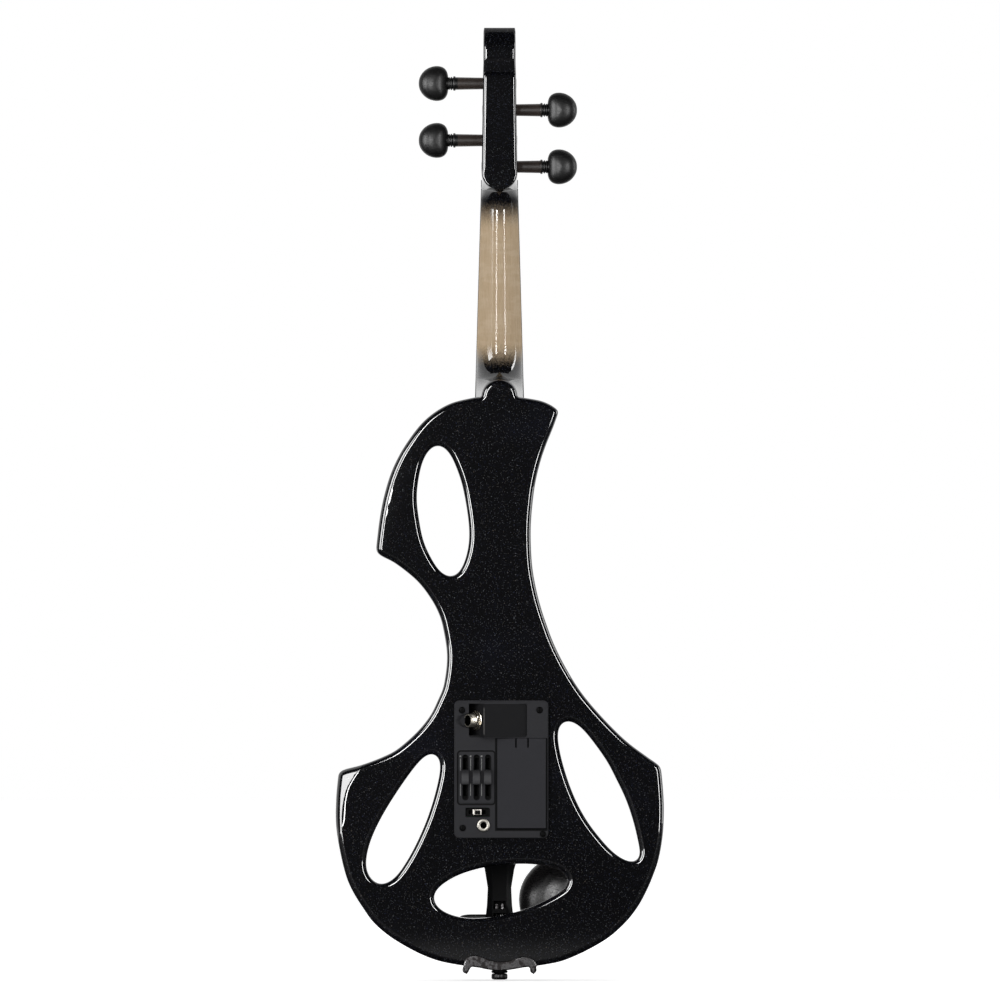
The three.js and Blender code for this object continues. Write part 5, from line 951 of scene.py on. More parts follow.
# %% Neck mesh
def neck_rings():
    """Sections from the heel to the head. Arch and chin are ledges over a hollow throat."""
    rings = []
    heel_back, heel_half, heel_rise = 10.3, 11.1, 11.2
    shaft_top, shaft_low = NUT_Z - 15, BODY_TOP + 32
    chin_end, chin_rise = NUT_Z - 1.3, NUT_Z + 9.3

    def neck_half(z):
        return board_half_at(z) - 0.3

    def shaft_back(z):
        share = min(max((z - shaft_low) / (shaft_top - shaft_low), 0), 1)
        return glue_at(z) + between(13.8, 12.3, share)

    def add(z, back, *shape, front=None, half=None, soft=1.6):
        front = glue_at(z) if front is None else front
        rings.append(section(z, front, back, neck_half(z) if half is None else half, *shape, soft=soft))

    for z in (BODY_TOP - 6, BODY_TOP):
        add(z, heel_back, heel_half)
    for k in range(1, 20):
        share = math.sin(math.pi * k / 40)
        top = heel_half * math.sqrt(1 - share * share)
        add(BODY_TOP + share * heel_rise, heel_back, top, 1 + 0.3 * share ** 4)
    for k in range(41):
        share = 1 - k / 40
        z = between(shaft_low, BODY_TOP + heel_rise, share)
        add(z, between(shaft_back(z), heel_back, hollow(share)), 0, between(2, 1.3, share ** 3))
    for k in range(1, 16):
        z = between(shaft_low, shaft_top, k / 16)
        add(z, shaft_back(z), 0, 2)
    for k in range(31):
        share = math.sin(math.pi * k / 60)
        z = between(shaft_top, chin_end, share)
        add(z, between(shaft_back(z), 8, hollow(share)), 0, between(2, 1.3, share ** 3))
    for k in range(1, 17):
        share = 1 - math.cos(math.pi * k / 32)
        z = between(chin_end, chin_rise, share)
        front = -18.5 if z > NUT_Z + 5.3 else glue_at(min(z, NUT_Z))
        half = between(neck_half(z), 11.3, share)
        add(z, 8, 11.1 * bulge(share), 1.3 - 0.3 * share, front=front, half=half)
    for rise, back in (
        (12, 8.2), (16, 8.4), (24, 8.9), (36, 9.3), (52, 9.35), (66, 9.35), (69.5, 9.3),
        (70.7, 8.9), (71.6, 7.9), (CREASE, 7.4),
    ):
        z = NUT_Z + rise
        cheek = between(18.5, 10.5, (z - NUT_Z - 6.3) / (CREASE - 6.3))
        half = pegbox_half(z)
        add(z, back, half - 0.2, front=-cheek, half=half, soft=2.4)
    for k in range(29):
        angle = math.radians(between(-20, 88, k / 28))
        depth = 12.2 * math.cos(angle)
        half = between(10.2, 9.5, max(math.sin(angle), 0) ** 6)
        z = NUT_Z + 83.4 + 16 * math.sin(angle)
        add(z, -2 + depth, half - 0.2, front=-2 - depth, half=half, soft=2.4)
    return rings


COLLAR_REACH = {1: 27.4, -1: 25.4}


def tapered_radius(reach, side=1):
    share = (COLLAR_REACH[side] - reach) / (COLLAR_REACH[side] + 11.3)
    return between(3.9, 3.3, share)


neck = make("carved_neck", loft(neck_rings()), maple, "neck")
trough = [(-8.3, 6.8), (8.3, 6.8), (6.6, 69.4), (-6.6, 69.4)]
cut(
    neck, 34, loft([[(x, y, NUT_Z + rise) for x, rise in trough] for y in (3.0, -24)]),
    *(lathe(
        [(tapered_radius(-13, side) + 0.2, 0), (tapered_radius(13, side) + 0.2, 26)],
        (-side * 13, -lift, NUT_Z + rise), (side, 0, 0), 32,
    ) for _, side, rise, lift, _, _ in PEG_ROWS),
)
print("neck faces", len(neck.data.polygons))

# %% [markdown]
# ## Pegs and windings
#
# A peg is turned on a lathe: a tapered shaft, a collar and two thin rings. Its thumb piece is
# then shaped by hand, like a flattened egg. The string winds round the shaft inside the pegbox,
# as one wire.

# %% Pegs
HEAD_OUTLINE = [
    (0, 0.3), (0.03, 0.62), (0.12, 0.87), (0.27, 0.99), (0.42, 1), (0.6, 0.94), (0.78, 0.77),
    (0.91, 0.53), (0.985, 0.26), (1, 0), (0.985, -0.26), (0.91, -0.53), (0.78, -0.77), (0.6, -0.94),
    (0.42, -1), (0.27, -0.99), (0.12, -0.87), (0.03, -0.62), (0, -0.3),
]
HEAD_LENGTH, HEAD_HALF, HEAD_THICK = 18.4, 11, 13
# Radius, and distance past the shaft's end.
COLLAR_ROWS = [
    (3.9, 0), (4.4, 0), (4.5, 0.3), (4.5, 1.0), (4.3, 1.3), (3.5, 1.5), (3.4, 1.8), (4.0, 2.1),
    (4.15, 2.5), (4.0, 2.9), (3.4, 3.1), (3.4, 3.3), (3.9, 3.5), (4.0, 3.9), (3.8, 4.3),
    (3.2, 4.7), (3.4, 6.4), (2.4, 9),
]


def thumb_piece(base, side, axis_y, z):
    """A flattened egg: rings of points shrink from the outline to the middle of each face."""
    outline = even_loop(curve_through(HEAD_OUTLINE, closed=True, steps=8), 0.055, 4)
    rings = []
    for t in (k / 15 for k in range(-15, 16)):
        share = max(math.sqrt(max(1 - abs(t) ** 2.1, 0)), 0.02)
        y = axis_y + t * HEAD_THICK / 2
        rings.append([
            (base + side * HEAD_LENGTH * (0.5 + share * (u - 0.5)), y, z + HEAD_HALF * share * v)
            for u, v in outline
        ])
    return loft(rings)


def winding_path(side, rise, lift, start, radius, loops=3, pitch=0.9, steps=32):
    core = tapered_radius(0, side) + 0.12 + radius
    path = []
    for i in range(loops * steps + 1):
        angle = 2 * math.pi * i / steps
        path.append((
            side * (start + pitch * i / steps), -lift - core * math.cos(angle),
            NUT_Z + rise + core * math.sin(angle),
        ))
    first, last = path[0], path[-1]
    path.insert(0, (first[0], first[1], first[2] - 2 * radius))
    path.append((last[0], last[1], last[2] + 2 * radius))
    return path


for note, side, rise, lift, start, radius in PEG_ROWS:
    z = NUT_Z + rise
    far = pegbox_half(z)
    reach = COLLAR_REACH[side]
    rows = [(2.6, 0), (3.25, 0.5)] + [(r, far + reach + along) for r, along in COLLAR_ROWS]
    shaft = lathe(rows, (-side * far, -lift, z), (side, 0, 0))
    head = thumb_piece(side * (reach + 4.4), side, -lift, z)
    make(
        f"turned_peg_{note}", merge(shaft, head), peg_wood, f"peg_{note}",
        f"peg_{note}", 40,
    )
    turns = tube(winding_path(side, rise, lift, start, radius), radius, 10)
    make(f"wound_turns_{note}", turns, steel, f"winding_{note}", f"peg_{note}")
print("pegs reach", COLLAR_REACH)

# %% [markdown]
# ## Fingerboard and strings
#
# The fingerboard is crowned across and straight along. Each string runs from its peg over nut
# and bridge to the fork of its fine tuner, and ends in a small ball.

# %% Fingerboard
CROWN = 42  # radius across fingerboard, nut and bridge
GAP = 0.3  # glue and air between neighbours
BOARD_THICK = 5


def crown_drop(x):
    return CROWN - math.sqrt(CROWN * CROWN - x * x)


def board_ring(z, ease):
    half = board_half_at(z) - ease
    under = glue_at(z) - GAP
    edge = under - BOARD_THICK
    rise = crown_drop(board_half_at(z))
    ring = [(half, under, z), (-half, under, z), (-half, edge + 0.5, z)]
    for i in range(33):
        x = between(-half + 0.25, half - 0.25, i / 32)
        ring.append((x, edge - rise + crown_drop(x) + ease, z))
    ring.append((half, edge + 0.5, z))
    return ring


board_end, board_top = NUT_Z - BOARD_LENGTH, NUT_Z - GAP
stations = [board_end, board_end + 0.15, board_end + 0.5]
stations += [between(board_end + 1, board_top, k / 12) for k in range(13)]
board = loft([board_ring(z, max(0, 0.35 - (z - board_end))) for z in stations])
make("crowned_fingerboard", board, ebony, "fingerboard", sharp=30)
print("fingerboard from", round(board_end, 1), "to", round(board_top, 1))

# %% Strings
TAIL_LIFT, TAIL_TOP_Z = 38.7, BRIDGE_Z - 50.4
GUT_INSET, GUT_RADIUS, SADDLE_LIFT = 2.6, 0.8, 4.8
SADDLE_LOW = BODY_BOTTOM + 2
SADDLE_HIGH = SADDLE_LOW + 5.2
GUT_LIFT = SADDLE_LIFT + 15 + GAP + GUT_RADIUS
TAIL_TILT = math.atan2(TAIL_LIFT - GUT_INSET - GUT_LIFT, TAIL_TOP_Z - SADDLE_HIGH)
tail_frame = Matrix.Translation((0, -TAIL_LIFT, TAIL_TOP_Z)) @ Matrix.Rotation(TAIL_TILT, 4, "X")
SLOTS = {"g": -1.5, "d": -0.5, "a": 0.5, "e": 1.5}
NUT_SPREAD, BRIDGE_SPREAD, TAIL_SPREAD = 16.5, 34, 27.6
BRIDGE_TALL, NUT_DEEP, BALL_DROP, KNOB_DROP = 33.2, 5, -6.8, -14.6
BALL_ROWS = [(0.3, -1.2), (1.1, -1.05), (1.35, -0.6), (1.35, 0.6), (1.1, 1.05), (0.3, 1.2)]


def from_tail(x, y, z):
    return tail_frame @ Vector((x, y, z))


def nut_top(x):
    return glue_at(NUT_Z) - GAP - BOARD_THICK - 0.8 - crown_drop(11.5) + crown_drop(x)


def bridge_top(x):
    return FRONT - GAP - BRIDGE_TALL + crown_drop(x)


for note, side, rise, lift, start, radius in PEG_ROWS:
    nut_x, bridge_x, tail_x = (
        SLOTS[note] / 3 * spread for spread in (NUT_SPREAD, BRIDGE_SPREAD, TAIL_SPREAD)
    )
    nut_y = nut_top(nut_x) + 0.6 - GAP - radius
    bridge_y = bridge_top(bridge_x) + 0.5 - GAP - radius
    leave = math.hypot(tapered_radius(0, side) + GAP + 2 * radius, 2 * radius)
    first = (side * (start + 2.7), -lift - leave - GAP - radius, NUT_Z + rise)
    nut_in = (nut_x, nut_y, NUT_Z + NUT_DEEP + radius)
    nut_out = (nut_x, nut_y, NUT_Z)
    over = (bridge_x, bridge_y, BRIDGE_Z + 1.6)
    past = (bridge_x, bridge_y, BRIDGE_Z)
    ball = from_tail(tail_x, 0, BALL_DROP)
    path = [first]
    for a, b, steps in (
        (first, nut_in, 6), (nut_in, nut_out, 2), (nut_out, over, 40), (over, past, 2),
        (past, ball, 16),
    ):
        path += [Vector(a).lerp(Vector(b), k / steps) for k in range(1, steps + 1)]
    string = make(
        f"drawn_string_{note}", merge(tube(path, radius, 12), lathe(BALL_ROWS, ball, (1, 0, 0), 24)),
        wound_steel if note != "e" else steel, f"string_{note}", None,
    )
    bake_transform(string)
print("tail tilt", round(math.degrees(TAIL_TILT), 2), "degrees")

# %% [markdown]
# ## Bridge
#
# A bridge stands on two feet, has a waist, a heart and two kidney-shaped cut-outs, and gets
# thinner towards its top. It is the same rounded slab as the body, drawn upright in x and y and
# then tapered.

# %% Bridge
def mirrored(points):
    """The same points on the other side, in turned order."""
    return [(-x, y) for x, y in reversed(points)]


def bridge_mesh():
    half, tall, thick, top_thick = 20.6, BRIDGE_TALL, 4.4, 1.6
    side = [
        (0.46, 0), (0.75, 0), (1, 0), (1, 0.066), (0.85, 0.12), (0.71, 0.2), (0.69, 0.27),
        (0.72, 0.35), (0.85, 0.45), (0.95, 0.53), (0.985, 0.6), (1, 0.71),
    ]
    right = [(u * half, v * tall) for u, v in side]
    grooves = {17: 0.5, 5.67: 0.5}
    top = [
        (x, tall - crown_drop(x) - grooves.get(x, 0))
        for x in (18.4, 17.6, 17, 16.4, 12, 8, 6.3, 5.67, 5, 2, 0)
    ]
    arch = [(0.32 * half, 0.13 * tall), (0, 0.2 * tall)]
    rim = right + top + mirrored(top[:-1]) + mirrored(right) + mirrored(arch[:1])
    loops = [even_loop(rim + arch[::-1], 0.55, 1)]
    heart = [
        (0, 0.42), (0.1, 0.47), (0.17, 0.53), (0.15, 0.59), (0.08, 0.6), (0, 0.57),
        (-0.08, 0.6), (-0.15, 0.59), (-0.17, 0.53), (-0.1, 0.47),
    ]
    kidney = [
        (0.4, 0.45), (0.52, 0.43), (0.62, 0.5), (0.64, 0.58), (0.57, 0.63), (0.47, 0.6), (0.42, 0.53),
    ]
    for shape in (heart, kidney, [(-u, v) for u, v in kidney]):
        curve = curve_through([(u * half, v * tall) for u, v in shape], closed=True)
        loops.append(even_loop(curve, 0.5, 2))
    points, faces = slab(loops, thick, 0, 0.35, 0.35, grid=3)
    thinning = (thick - top_thick) / tall
    return [
        (x, FRONT - GAP - rise, BRIDGE_Z + deep / thick * (thick - thinning * rise))
        for x, deep, rise in points
    ], faces


make("carved_bridge", bridge_mesh(), bridge_wood, "bridge")
print("bridge at Z", round(BRIDGE_Z, 1))

# %% [markdown]
# ## Tailgut and end button
#
# The gut is one nylon cord that loops round the end button and runs over the saddle into the
# tailpiece. The button is turned from ebony, with a groove for the loop and a polished rim.

# %% Tailgut and end button
def gut_path():
    apart, saddle_round, groove_z = 1.9, 1.4, 4.9
    loop_radius = 3.2 + GAP + GUT_RADIUS
    bend = saddle_round + GAP + GUT_RADIUS

    def round_saddle(degrees, z):
        angle = math.radians(degrees)
        y = FRONT - SADDLE_LIFT + saddle_round
        return (apart, y - bend * math.cos(angle), z - bend * math.sin(angle))

    half = [tuple(from_tail(apart, GUT_INSET, z)) for z in (-67.6, -99.4)]
    half.append(round_saddle(0, SADDLE_HIGH - saddle_round))
    half += [round_saddle(a, SADDLE_LOW + saddle_round) for a in range(0, 91, 15)]
    half.append((between(apart, loop_radius, 0.3), FRONT + 2.5, groove_z))
    half.append((loop_radius, -loop_radius, groove_z))
    arc = [
        (loop_radius * math.cos(a), loop_radius * math.sin(a), groove_z)
        for a in (math.pi * i / 24 for i in range(25))
    ]
    return half + arc + [(-x, y, z) for x, y, z in reversed(half)]


make("nylon_tailgut", tube(gut_path(), GUT_RADIUS), nylon, "tailgut")
button_rows = [
    (0.6, 0), (3.2, 0.02), (3.9, 0.12), (4.6, 0.45), (4.95, 1.0), (5, 1.6), (5, 2.9),
    (4.85, 3.4), (4.4, 3.75), (3.5, 3.9), (3.2, 4.1), (3.2, 6.2), (3.6, 6.8), (3.2, 30),
]
button = lathe(button_rows, (0, 0, 0), (0, 0, 1), 64)
make("turned_end_button", button, ebony, "end_button")
print("gut points", len(gut_path()))

# %% [markdown]
# ## Chin rest
#
# The cup, the bridge plate over the tailpiece and the two feet are carved from one block, so the
# pieces must flow into each other. They are made apart, joined by a voxel remesh, and smoothed,
# which leaves the soft hollows that a carver's gouge and sandpaper leave.

# %% Chin rest
CLAMP_X, CLAMP_Z = 21, 6  # the studs stand this far to each side and this high


def chin_rest_mesh():
    rings = []
    for share in (0.05, 0.2, 0.4, 0.55, 0.7, 0.8, 0.88, 0.94, 0.975, 1):
        rings.append((share * 34.1, share * 29.8, between(-28, -41.4, hollow(share))))
    rings += [(33.5, 29.2, -42), (32.5, 28.2, -42)]
    for share in (1, 0.96, 0.9, 0.8, 0.65, 0.45, 0.25, 0.05):
        rings.append((share * 31.5, share * 27.2, between(-30.6, -41.4, hollow(share))))
    cup = loft([
        [(-45.9 + a * math.cos(t), y, 49 + b * math.sin(t)) for t in angles(72)]
        for a, b, y in rings
    ])
    corners = [(28, 9.9), (28, 40.2), (-52, 40.2), (-52, 26), (-43, 18), (-33, 12.6), (-20, 9.9)]
    plate = slab([even_loop(corners, 1.5, 10)], -30.6, -35.6, 1.6, 1.6, grid=6)
    feet = [block(14.5, 26.6, -33, -17.4, 10.4, 30), block(-37, -14.5, -33, -17.4, 12.6, 30)]
    places = (-CLAMP_X, CLAMP_X)
    bosses = [lathe([(2.2, 0), (2.2, 12)], (x, -33, CLAMP_Z), (0, 1, 0), 24) for x in places]
    webs = [block(x - 1.1, x + 1.1, -33, -21, CLAMP_Z, 11.5) for x in places]
    return merge(cup, plate, *feet, *bosses, *webs)


def soften(piece, voxel, rounds):
    """Joins overlapping parts into one skin and smooths it."""
    remesh = piece.modifiers.new("join", "REMESH")
    remesh.mode = "VOXEL"
    remesh.voxel_size = voxel / 1000
    smooth = piece.modifiers.new("smooth", "SMOOTH")
    smooth.factor = 0.5
    smooth.iterations = rounds
    bake(piece)
    clean(piece.data, 180)


for side, x0, x1, z0 in (("bass", -37.4, -14.6, 12.6), ("treble", 14.6, 26.5, 10.6)):
    pad = even_loop([(x0, z0), (x1, z0), (x1, 29.9), (x0, 29.9)], 0.8, 2)
    sheet = slab([pad], -15.35, -17.05, 0.4, 0.4, grid=2)
    make(f"cork_pad_{side}", sheet, cork, f"chin_cork_{side}")
chin_rest = make("carved_chin_rest", chin_rest_mesh(), chin_wood, "chin_rest")
soften(chin_rest, 0.8, 4)
print("chin rest faces", len(chin_rest.data.polygons))

# %% [markdown]
# ## Clamp
#
# Two studs and turnbuckle barrels pull the chin rest and a small bracket together over the edge
# of the body. The bracket is a stamped plate shaped like a moustache, with soft edges.

# %% Clamp
bracket_pixels = [
    (463.7, 964), (466.5, 958.2), (474.2, 955.2), (482, 956.8), (491, 960.3), (500.4, 961.6),
    (510, 960.5), (517, 957.9), (524.6, 956.5), (532.6, 959), (536.6, 964.4), (535.7, 969),
    (533.6, 974.4), (531, 970), (527.5, 966.6), (518.9, 968.3), (500.4, 970.8), (486.4, 969.2),
    (473, 966.6), (469.2, 970), (466.3, 974.4), (464.2, 969),
]
BARREL_ROWS = [
    (1.4, -8), (1.8, -8), (2, -7.7), (2, -5.2), (1.85, -5), (1.85, -4.6), (2, -4.4), (2, 4.4),
    (1.85, 4.6), (1.85, 5), (2, 5.2), (2, 7.7), (1.8, 8), (1.4, 8),
]
bracket_curve = curve_through([photo_point(p) for p in bracket_pixels], closed=True)
bracket_loop = even_loop(bracket_curve, 0.4, 1)
plate = slab([bracket_loop], 17.2, 15.3, 0.85, 0.3, grid=2)
studs = [
    lathe([(1.1, 0), (1.1, 14.6), (0.8, 15)], (x, 16.4, CLAMP_Z), (0, -1, 0), 24)
    for x in (-CLAMP_X, CLAMP_X)
]
make(
    "stamped_bracket", merge(plate, *studs), dark_nickel, "clamp_bracket",
    "clamp_bracket",
)
for side, x in (("bass", -CLAMP_X), ("treble", CLAMP_X)):
    barrel = lathe(BARREL_ROWS, (x, 0, CLAMP_Z), (0, 1, 0), 40)
    stud = lathe([(0.8, 0), (1.1, 0.3), (1.1, 27)], (x, -1.5, CLAMP_Z), (0, -1, 0), 24)
    make(
        f"turned_barrel_{side}", barrel, dark_nickel, f"clamp_barrel_{side}",
        f"clamp_barrel_{side}",
    )
    make(f"threaded_stud_{side}", stud, dark_nickel, f"clamp_stud_{side}")
print("bracket points", len(bracket_loop))

# %% [markdown]
# ## Jacks
#
# The output jack leans out of its pocket on a slanted face. Its barrel is threaded, with a
# washer and a flat hexagonal nut. The small auxiliary jack ends in a rounded ring.

# %% Jacks
JACK_TILT = math.radians(35)
jack_axis = Vector((math.cos(JACK_TILT), math.sin(JACK_TILT), 0))
jack_face = Vector((14.2, 17.8 + 3.5 - (14.2 - 9.6) / math.tan(JACK_TILT), 161))

jack_nickel = metal("output_jack_nickel", WARM, DULLED, 0.3, 0.2)
from_face = jack_nickel.node(
    "VectorMath", {"operation": "SUBTRACT"}, {0: jack_nickel.place, 1: tuple(jack_face / 1000)},
)
along_axis = jack_nickel.node(
    "VectorMath", {"operation": "DOT_PRODUCT"}, {0: from_face, 1: tuple(jack_axis)}, 1,
)
reach = jack_nickel.node("VectorMath", {"operation": "LENGTH"}, {0: from_face}, 1)
from_axis = (reach ** 2 - along_axis ** 2).most(0) ** 0.5 * 1000
# Painted shade: the output jack's bore is painted almost black.
darken(jack_nickel, 1 - from_axis.step(3.3, 3.5), paint(170, 165, 154), paint(10, 10, 10))

barrel_rows = [(5.4, -21.3), (5.4, -2.3), (4.2, -2.3), (4.2, 2.6)]
for along in (2.7 + 0.45 * k for k in range(8)):
    barrel_rows += [(4.2, along), (3.98, along + 0.22)]
barrel_rows += [(4.15, 6.4), (3.9, 6.8), (3.3, 6.8), (3.25, 6.6), (3.25, -14), (0.3, -14)]
barrel = lathe(barrel_rows, jack_face, jack_axis, 56)
make("output_jack_barrel", barrel, jack_nickel, "output_jack")


def hexagon_nut():
    """A washer and a nut. A circle cuts the corners of the nut's hexagon off, or its bore out."""
    washer_rows = [(4.5, 0.3), (6.1, 0.3), (6.3, 0.45), (6.3, 0.8), (6.1, 0.9), (4.5, 0.9)]
    side = Vector((0, 0, 1))

    def ring(distance, radius):
        def hexagon(a):
            twelfth = math.pi / 6
            flat = 5.7 * math.cos(twelfth) / math.cos((a % (2 * twelfth)) - twelfth)
            return min(flat, radius)

        middle = jack_face + jack_axis * distance
        return circle(middle, side, jack_axis.cross(side), hexagon, 72)

    rings = [ring(*row) for row in ((0.9, 5.7), (2.35, 5.7), (2.8, 5.1), (2.8, 4.5), (0.9, 4.5))]
    nut = loft([*rings, rings[0]], closed_ends=False)
    return merge(lathe(washer_rows, jack_face, jack_axis, 56), nut)


make("hexagon_jack_nut", hexagon_nut(), nickel, "jack_nut", sharp=25)
aux_rows = [
    (0.3, 3), (3.8, 3), (3.8, 15), (2.9, 15), (2.9, 18.1), (3.9, 18.1), (4, 18.25), (3.9, 18.6),
    (3.5, 18.85), (2.7, 18.9), (2.1, 18.7), (1.85, 18.3), (1.8, 17.8), (1.8, 5.9), (0.3, 5.9),
]
aux_jack = lathe(aux_rows, (9.9, 0, 96), (0, 1, 0))
make("auxiliary_jack", aux_jack, aux_nickel, "aux_jack")
print("jack face", [round(v, 2) for v in jack_face])

# %% [markdown]
# ## Panel screws and fine tuners
#
# The four screws are blackened, with a cross cut in a slightly domed head. The fine tuners have
# knurled nickel knobs on thin stems, with levers on one pin through the tailpiece.

# %% Screws
PANEL_X, PANEL_Z = -1.1, 130.8
SCREW_ROWS = [
    (0.3, 0), (1.1, 1.1), (1.1, 10.9), (1.85, 10.9), (1.9, 11.5), (1.8, 11.8), (1.4, 11.95), (0.4, 12),
]
screw_offsets = [(24.3, 36.6), (-23.8, 36.7), (23.9, -36.5), (-25.9, -40.2)]
for number, (across, up) in enumerate(screw_offsets, 1):
    x, z = PANEL_X + across, PANEL_Z + up
    screw = make(
        f"cross_screw_{number}", lathe(SCREW_ROWS, (x, 5.3, z), (0, 1, 0), 36), screw_finish,
        f"panel_screw_{number}",
    )
    cut(
        screw, 32, block(x - 1.25, x + 1.25, 16.6, 20, z - 0.25, z + 0.25),
        block(x - 0.25, x + 0.25, 16.6, 20, z - 1.25, z + 1.25),
    )
print("screws", len(screw_offsets))

# %% Fine tuners
def knob_mesh(x):
    rings = []
    for inset, y in (
        (0.8, -1.6), (0.1, -1.75), (0, -2.1), (0, -6.3), (0.1, -6.7), (0.7, -7), (2.4, -7.15),
    ):
        ring = []
        for a in angles(132):
            knurl = 0.22 * (0.5 + 0.5 * math.cos(22 * a)) * (1 if inset < 0.2 else 0)
            radius = 3.9 - inset - knurl
            ring.append(from_tail(x + radius * math.cos(a), y, KNOB_DROP + radius * math.sin(a)))
        rings.append(ring)
    return loft(rings)


tail_down = from_tail(0, 1, 0) - from_tail(0, 0, 0)
for note in "gdae":
    x = SLOTS[note] / 3 * TAIL_SPREAD
    make(
        f"knurled_knob_{note}", knob_mesh(x), nickel, f"tuner_knob_{note}",
        f"tuner_knob_{note}", 28,
    )
    stem_rows = [(1.1, -3.5), (1.25, -3.3), (1.25, 6.2), (0.7, 6.65)]
    make(
        f"tuner_screw_{note}", lathe(stem_rows, from_tail(x, 0, KNOB_DROP), tail_down, 28), steel,
        f"tuner_stem_{note}", f"tuner_stem_{note}",
    )
print("tuners", list("gdae"))

# %% [markdown]
# ## Dressing the other solids
#
# The remaining solids already have the right shape. A moulded or machined edge is never knife
# sharp, so each gets modifiers that join its facets, round its true edges a little and shade the
# rest smooth. Those edges are what catches the light.

# %% Smooth shading as a modifier
def smoothing_tree(degrees):
    """Shades smooth where two faces meet under the angle."""
    tree = bpy.data.node_groups.new("smooth_under_angle", "GeometryNodeTree")
    for way in ("INPUT", "OUTPUT"):
        tree.interface.new_socket("Geometry", in_out=way, socket_type="NodeSocketGeometry")
    into, out, angle, small, faces, edges = (tree.nodes.new(kind) for kind in (
        "NodeGroupInput", "NodeGroupOutput", "GeometryNodeInputMeshEdgeAngle",
        "FunctionNodeCompare", "GeometryNodeSetShadeSmooth", "GeometryNodeSetShadeSmooth",
    ))
    small.operation = "LESS_EQUAL"
    small.inputs["B"].default_value = math.radians(degrees)
    edges.domain = "EDGE"
    for output, socket in (
        (angle.outputs["Unsigned Angle"], small.inputs["A"]),
        (into.outputs[0], faces.inputs["Geometry"]), (faces.outputs[0], edges.inputs["Geometry"]),
        (small.outputs[0], edges.inputs["Shade Smooth"]), (edges.outputs[0], out.inputs[0]),
    ):
        tree.links.new(output, socket)
    return tree


smoothing = smoothing_tree(32)


def dress(node, finish, edge):
    """Gives a solid its finish, and rounds its edges by that many millimetres."""
    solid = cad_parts[node]
    for place in solid.material_slots:
        place.link = "OBJECT"
        place.material = finish.material
    for name, kind, settings in (
        ("join_facets", "WELD", {"merge_threshold": 1e-6}),
        ("flat_faces", "DECIMATE", {
            "decimate_type": "DISSOLVE", "angle_limit": math.radians(0.5),
        }),
        ("soft_edges", "BEVEL", {
            "width": edge / 1000, "segments": 3, "limit_method": "ANGLE",
            "angle_limit": math.radians(35), "harden_normals": False,
        }),
        ("smooth", "NODES", {"node_group": smoothing}),
        ("flat_faces_lead", "WEIGHTED_NORMAL", {"weight": 100, "keep_sharp": True}),
    ):
        step = solid.modifiers.new(name, kind)
        for key, value in settings.items():
            setattr(step, key, value)


for nodes, finish, edge in (
    ("preamp_panel", panel, 0.22), ("battery_cover", cover, 0.3),
    ("slider_cap_volume slider_cap_treble slider_cap_bass", cap_plastic, 0.55),
    ("output_switch", switch_nickel, 0.2), ("tailpiece", black_plastic, 0.45),
    ("tuner_pivot_pin", steel, 0.1),
    ("tuner_lever_g tuner_lever_d tuner_lever_a tuner_lever_e", steel, 0.15),
    ("tailgut_nut_bass tailgut_nut_treble", dark_nickel, 0.15), ("nut", ebony, 0.3),
    ("saddle", ebony, 0.4), ("bridge_pickup", nylon, 0.1), ("circuit_board", board_green, 0.1),
    ("battery", battery_shell, 0.4),
):
    for node in nodes.split():
        dress(node, finish, edge)
bare_nodes = [
    name for name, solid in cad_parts.items() if not solid.hide_render and not solid.modifiers
]
print("solids without a finish", bare_nodes)

# %% [markdown]
# ## Studio
#
# A wide window on the left and a narrow one on the right draw the white lines along the rounded
# edges, and two strips near the camera draw the two lines on the neck. Polished black shows only
# what it mirrors, so each soft box is a pair of lamps: one that lights the colours at a plain
# level, and one that only mirrors see. A dark tent keeps the rest of the lacquer black. It is open
# at the far side, so that steep flanks show a soft grey from the white room there.

# %% Lamps
def emitter(name, place, target, width, tall, radiance, mirrored):
    """A soft box. Its power follows from how bright its face looks."""
    lamp = bpy.data.lights.new(name, "AREA")
    lamp.shape = "RECTANGLE"
    lamp.size = width
    lamp.size_y = tall
    lamp.energy = radiance * math.pi * width * tall
    holder = bpy.data.objects.new(name, lamp)
    scene.collection.objects.link(holder)
    holder.location = place
    holder.rotation_euler = (Vector(target) - Vector(place)).to_track_quat("-Z", "Y").to_euler()
    holder.visible_camera = False
    holder.visible_glossy = mirrored
    holder.visible_diffuse = not mirrored


def around(degrees, z):
    """A place beside the violin: 0 degrees is behind the camera, + is to the left of the picture."""
    a = math.radians(degrees)
    return (LAMP_DISTANCE * math.sin(a), LAMP_DISTANCE * math.cos(a), z)


AIM = (0, 0, 0.3)
LAMP_DISTANCE = 1.9
for name, degrees, height, width, tall, radiance in (
    ("left_light", 50, 0.75, 1.2, 2.2, 1.6), ("right_light", -58, 0.85, 0.7, 2.0, 1.6),
):
    emitter(name, around(degrees, height), AIM, width, tall, radiance, False)
emitter("front_light", (0.3, -2.2, 1.9), AIM, 1.6, 1.6, 2.2, False)
for name, degrees, width, tall, radiance in (
    ("left_window", 52, 0.85, 1.6, 15), ("right_window", -92, 0.3, 1.6, 12),
    ("right_strip", -30, 0.2, 1.2, 36), ("left_strip", 17, 0.24, 1.2, 36),
):
    emitter(name, around(degrees, 0.45), AIM, width, tall, radiance, True)

# %% Tent and mat
def only_mirrored(sheet):
    """Takes an object out of everything but reflections."""
    sheet.visible_camera = False
    sheet.visible_diffuse = False
    sheet.visible_shadow = False
    sheet.visible_transmission = False


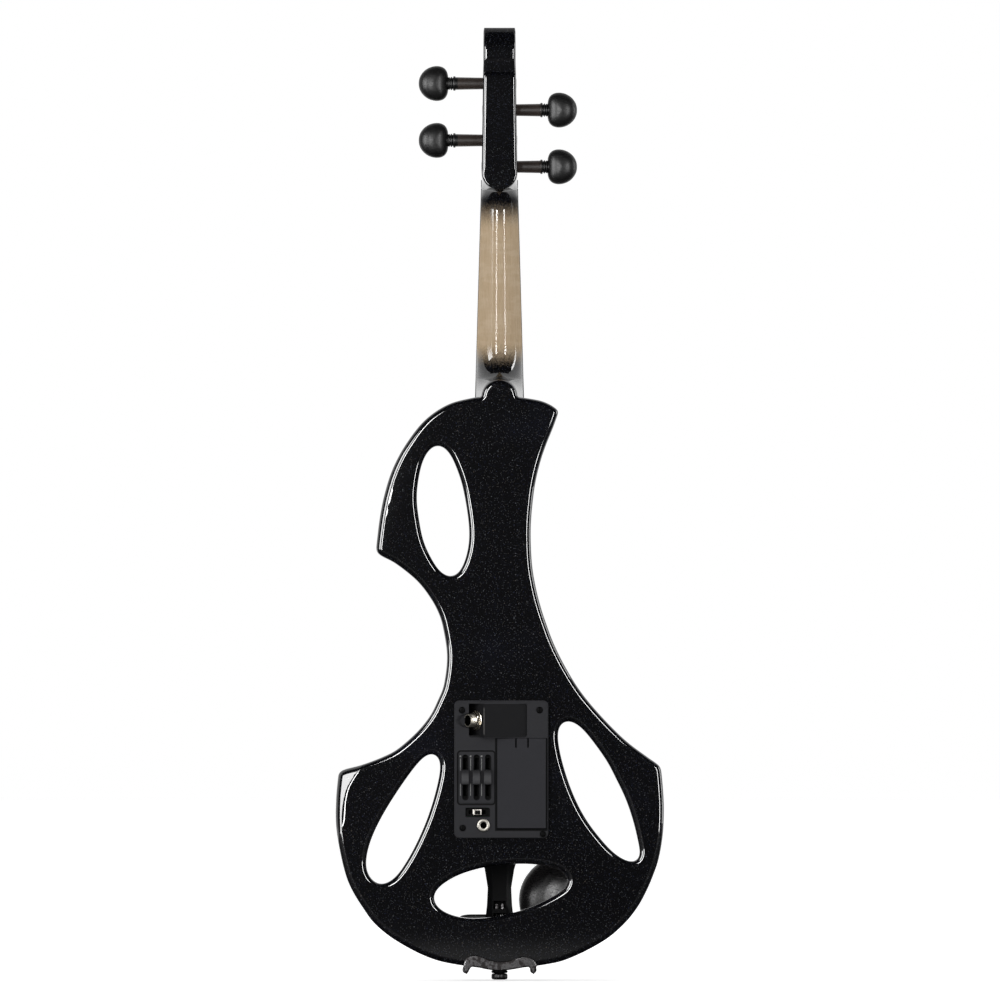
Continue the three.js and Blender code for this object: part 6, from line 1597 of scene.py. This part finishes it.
def flat_sheet(name, place, width, finish):
    """A square sheet that lies flat."""
    half = width / 2
    mesh = bpy.data.meshes.new(name)
    corners = [(-half, -half, 0), (half, -half, 0), (half, half, 0), (-half, half, 0)]
    mesh.from_pydata(corners, [], [(0, 1, 2, 3)])
    mesh.materials.append(finish.material)
    sheet = bpy.data.objects.new(name, mesh)
    sheet.location = place
    scene.collection.objects.link(sheet)
    return sheet


curtain = Finish("dark_curtain", Roughness=1.0)
curtain.set({"Base Color": curtain.mix(curtain.noise(300), paint(20, 20, 23), paint(34, 34, 38))})
dome = bpy.data.meshes.new("tent")
build = bmesh.new()
bmesh.ops.create_uvsphere(build, u_segments=48, v_segments=24, radius=3.4)
behind = [corner for corner in build.verts if corner.co.y < -0.7]
bmesh.ops.delete(build, geom=behind, context="VERTS")
build.to_mesh(dome)
build.free()
dome.materials.append(curtain.material)
tent = bpy.data.objects.new("tent", dome)
tent.location = AIM
scene.collection.objects.link(tent)
only_mirrored(tent)
only_mirrored(flat_sheet("dark_mat", (0, 4.7, -0.0003), 10, curtain))
print("tent and mat are seen only in reflections")

# %% Floor and air
def ray(graph, kind):
    """1 for rays of that kind, and 0 for the others."""
    return graph.node("LightPath", output=f"Is {kind} Ray")


floor_finish = Finish("pale_floor", Roughness=0.9)
speck = floor_finish.noise(30, 3)
shown = ray(floor_finish, "Camera").most(ray(floor_finish, "Glossy"))
floor_finish.set({
    "Base Color": floor_finish.mix(speck, (0.8, 0.8, 0.8), (0.84, 0.84, 0.84)),
    "Emission Color": floor_finish.mix(shown, (0, 0, 0), (0.62, 0.62, 0.62)),
    "Emission Strength": 1.0,
})
flat_sheet("floor", (0, 0, -0.0005), 24, floor_finish)

AIR_LIGHT = 0.42
world = bpy.data.worlds.new("white_room")
scene.world = world
world.use_nodes = True
air = Graph(world.node_tree, "Background")
shown = ray(air, "Camera").most(ray(air, "Glossy")).most(ray(air, "Transmission"))
air.set({
    "Color": (1, 1, 1), "Strength": air.node("MapRange", {}, {"Value": shown, "To Min": AIR_LIGHT}),
})
print("the air is white to the camera and to mirrors, and lights at", AIR_LIGHT)
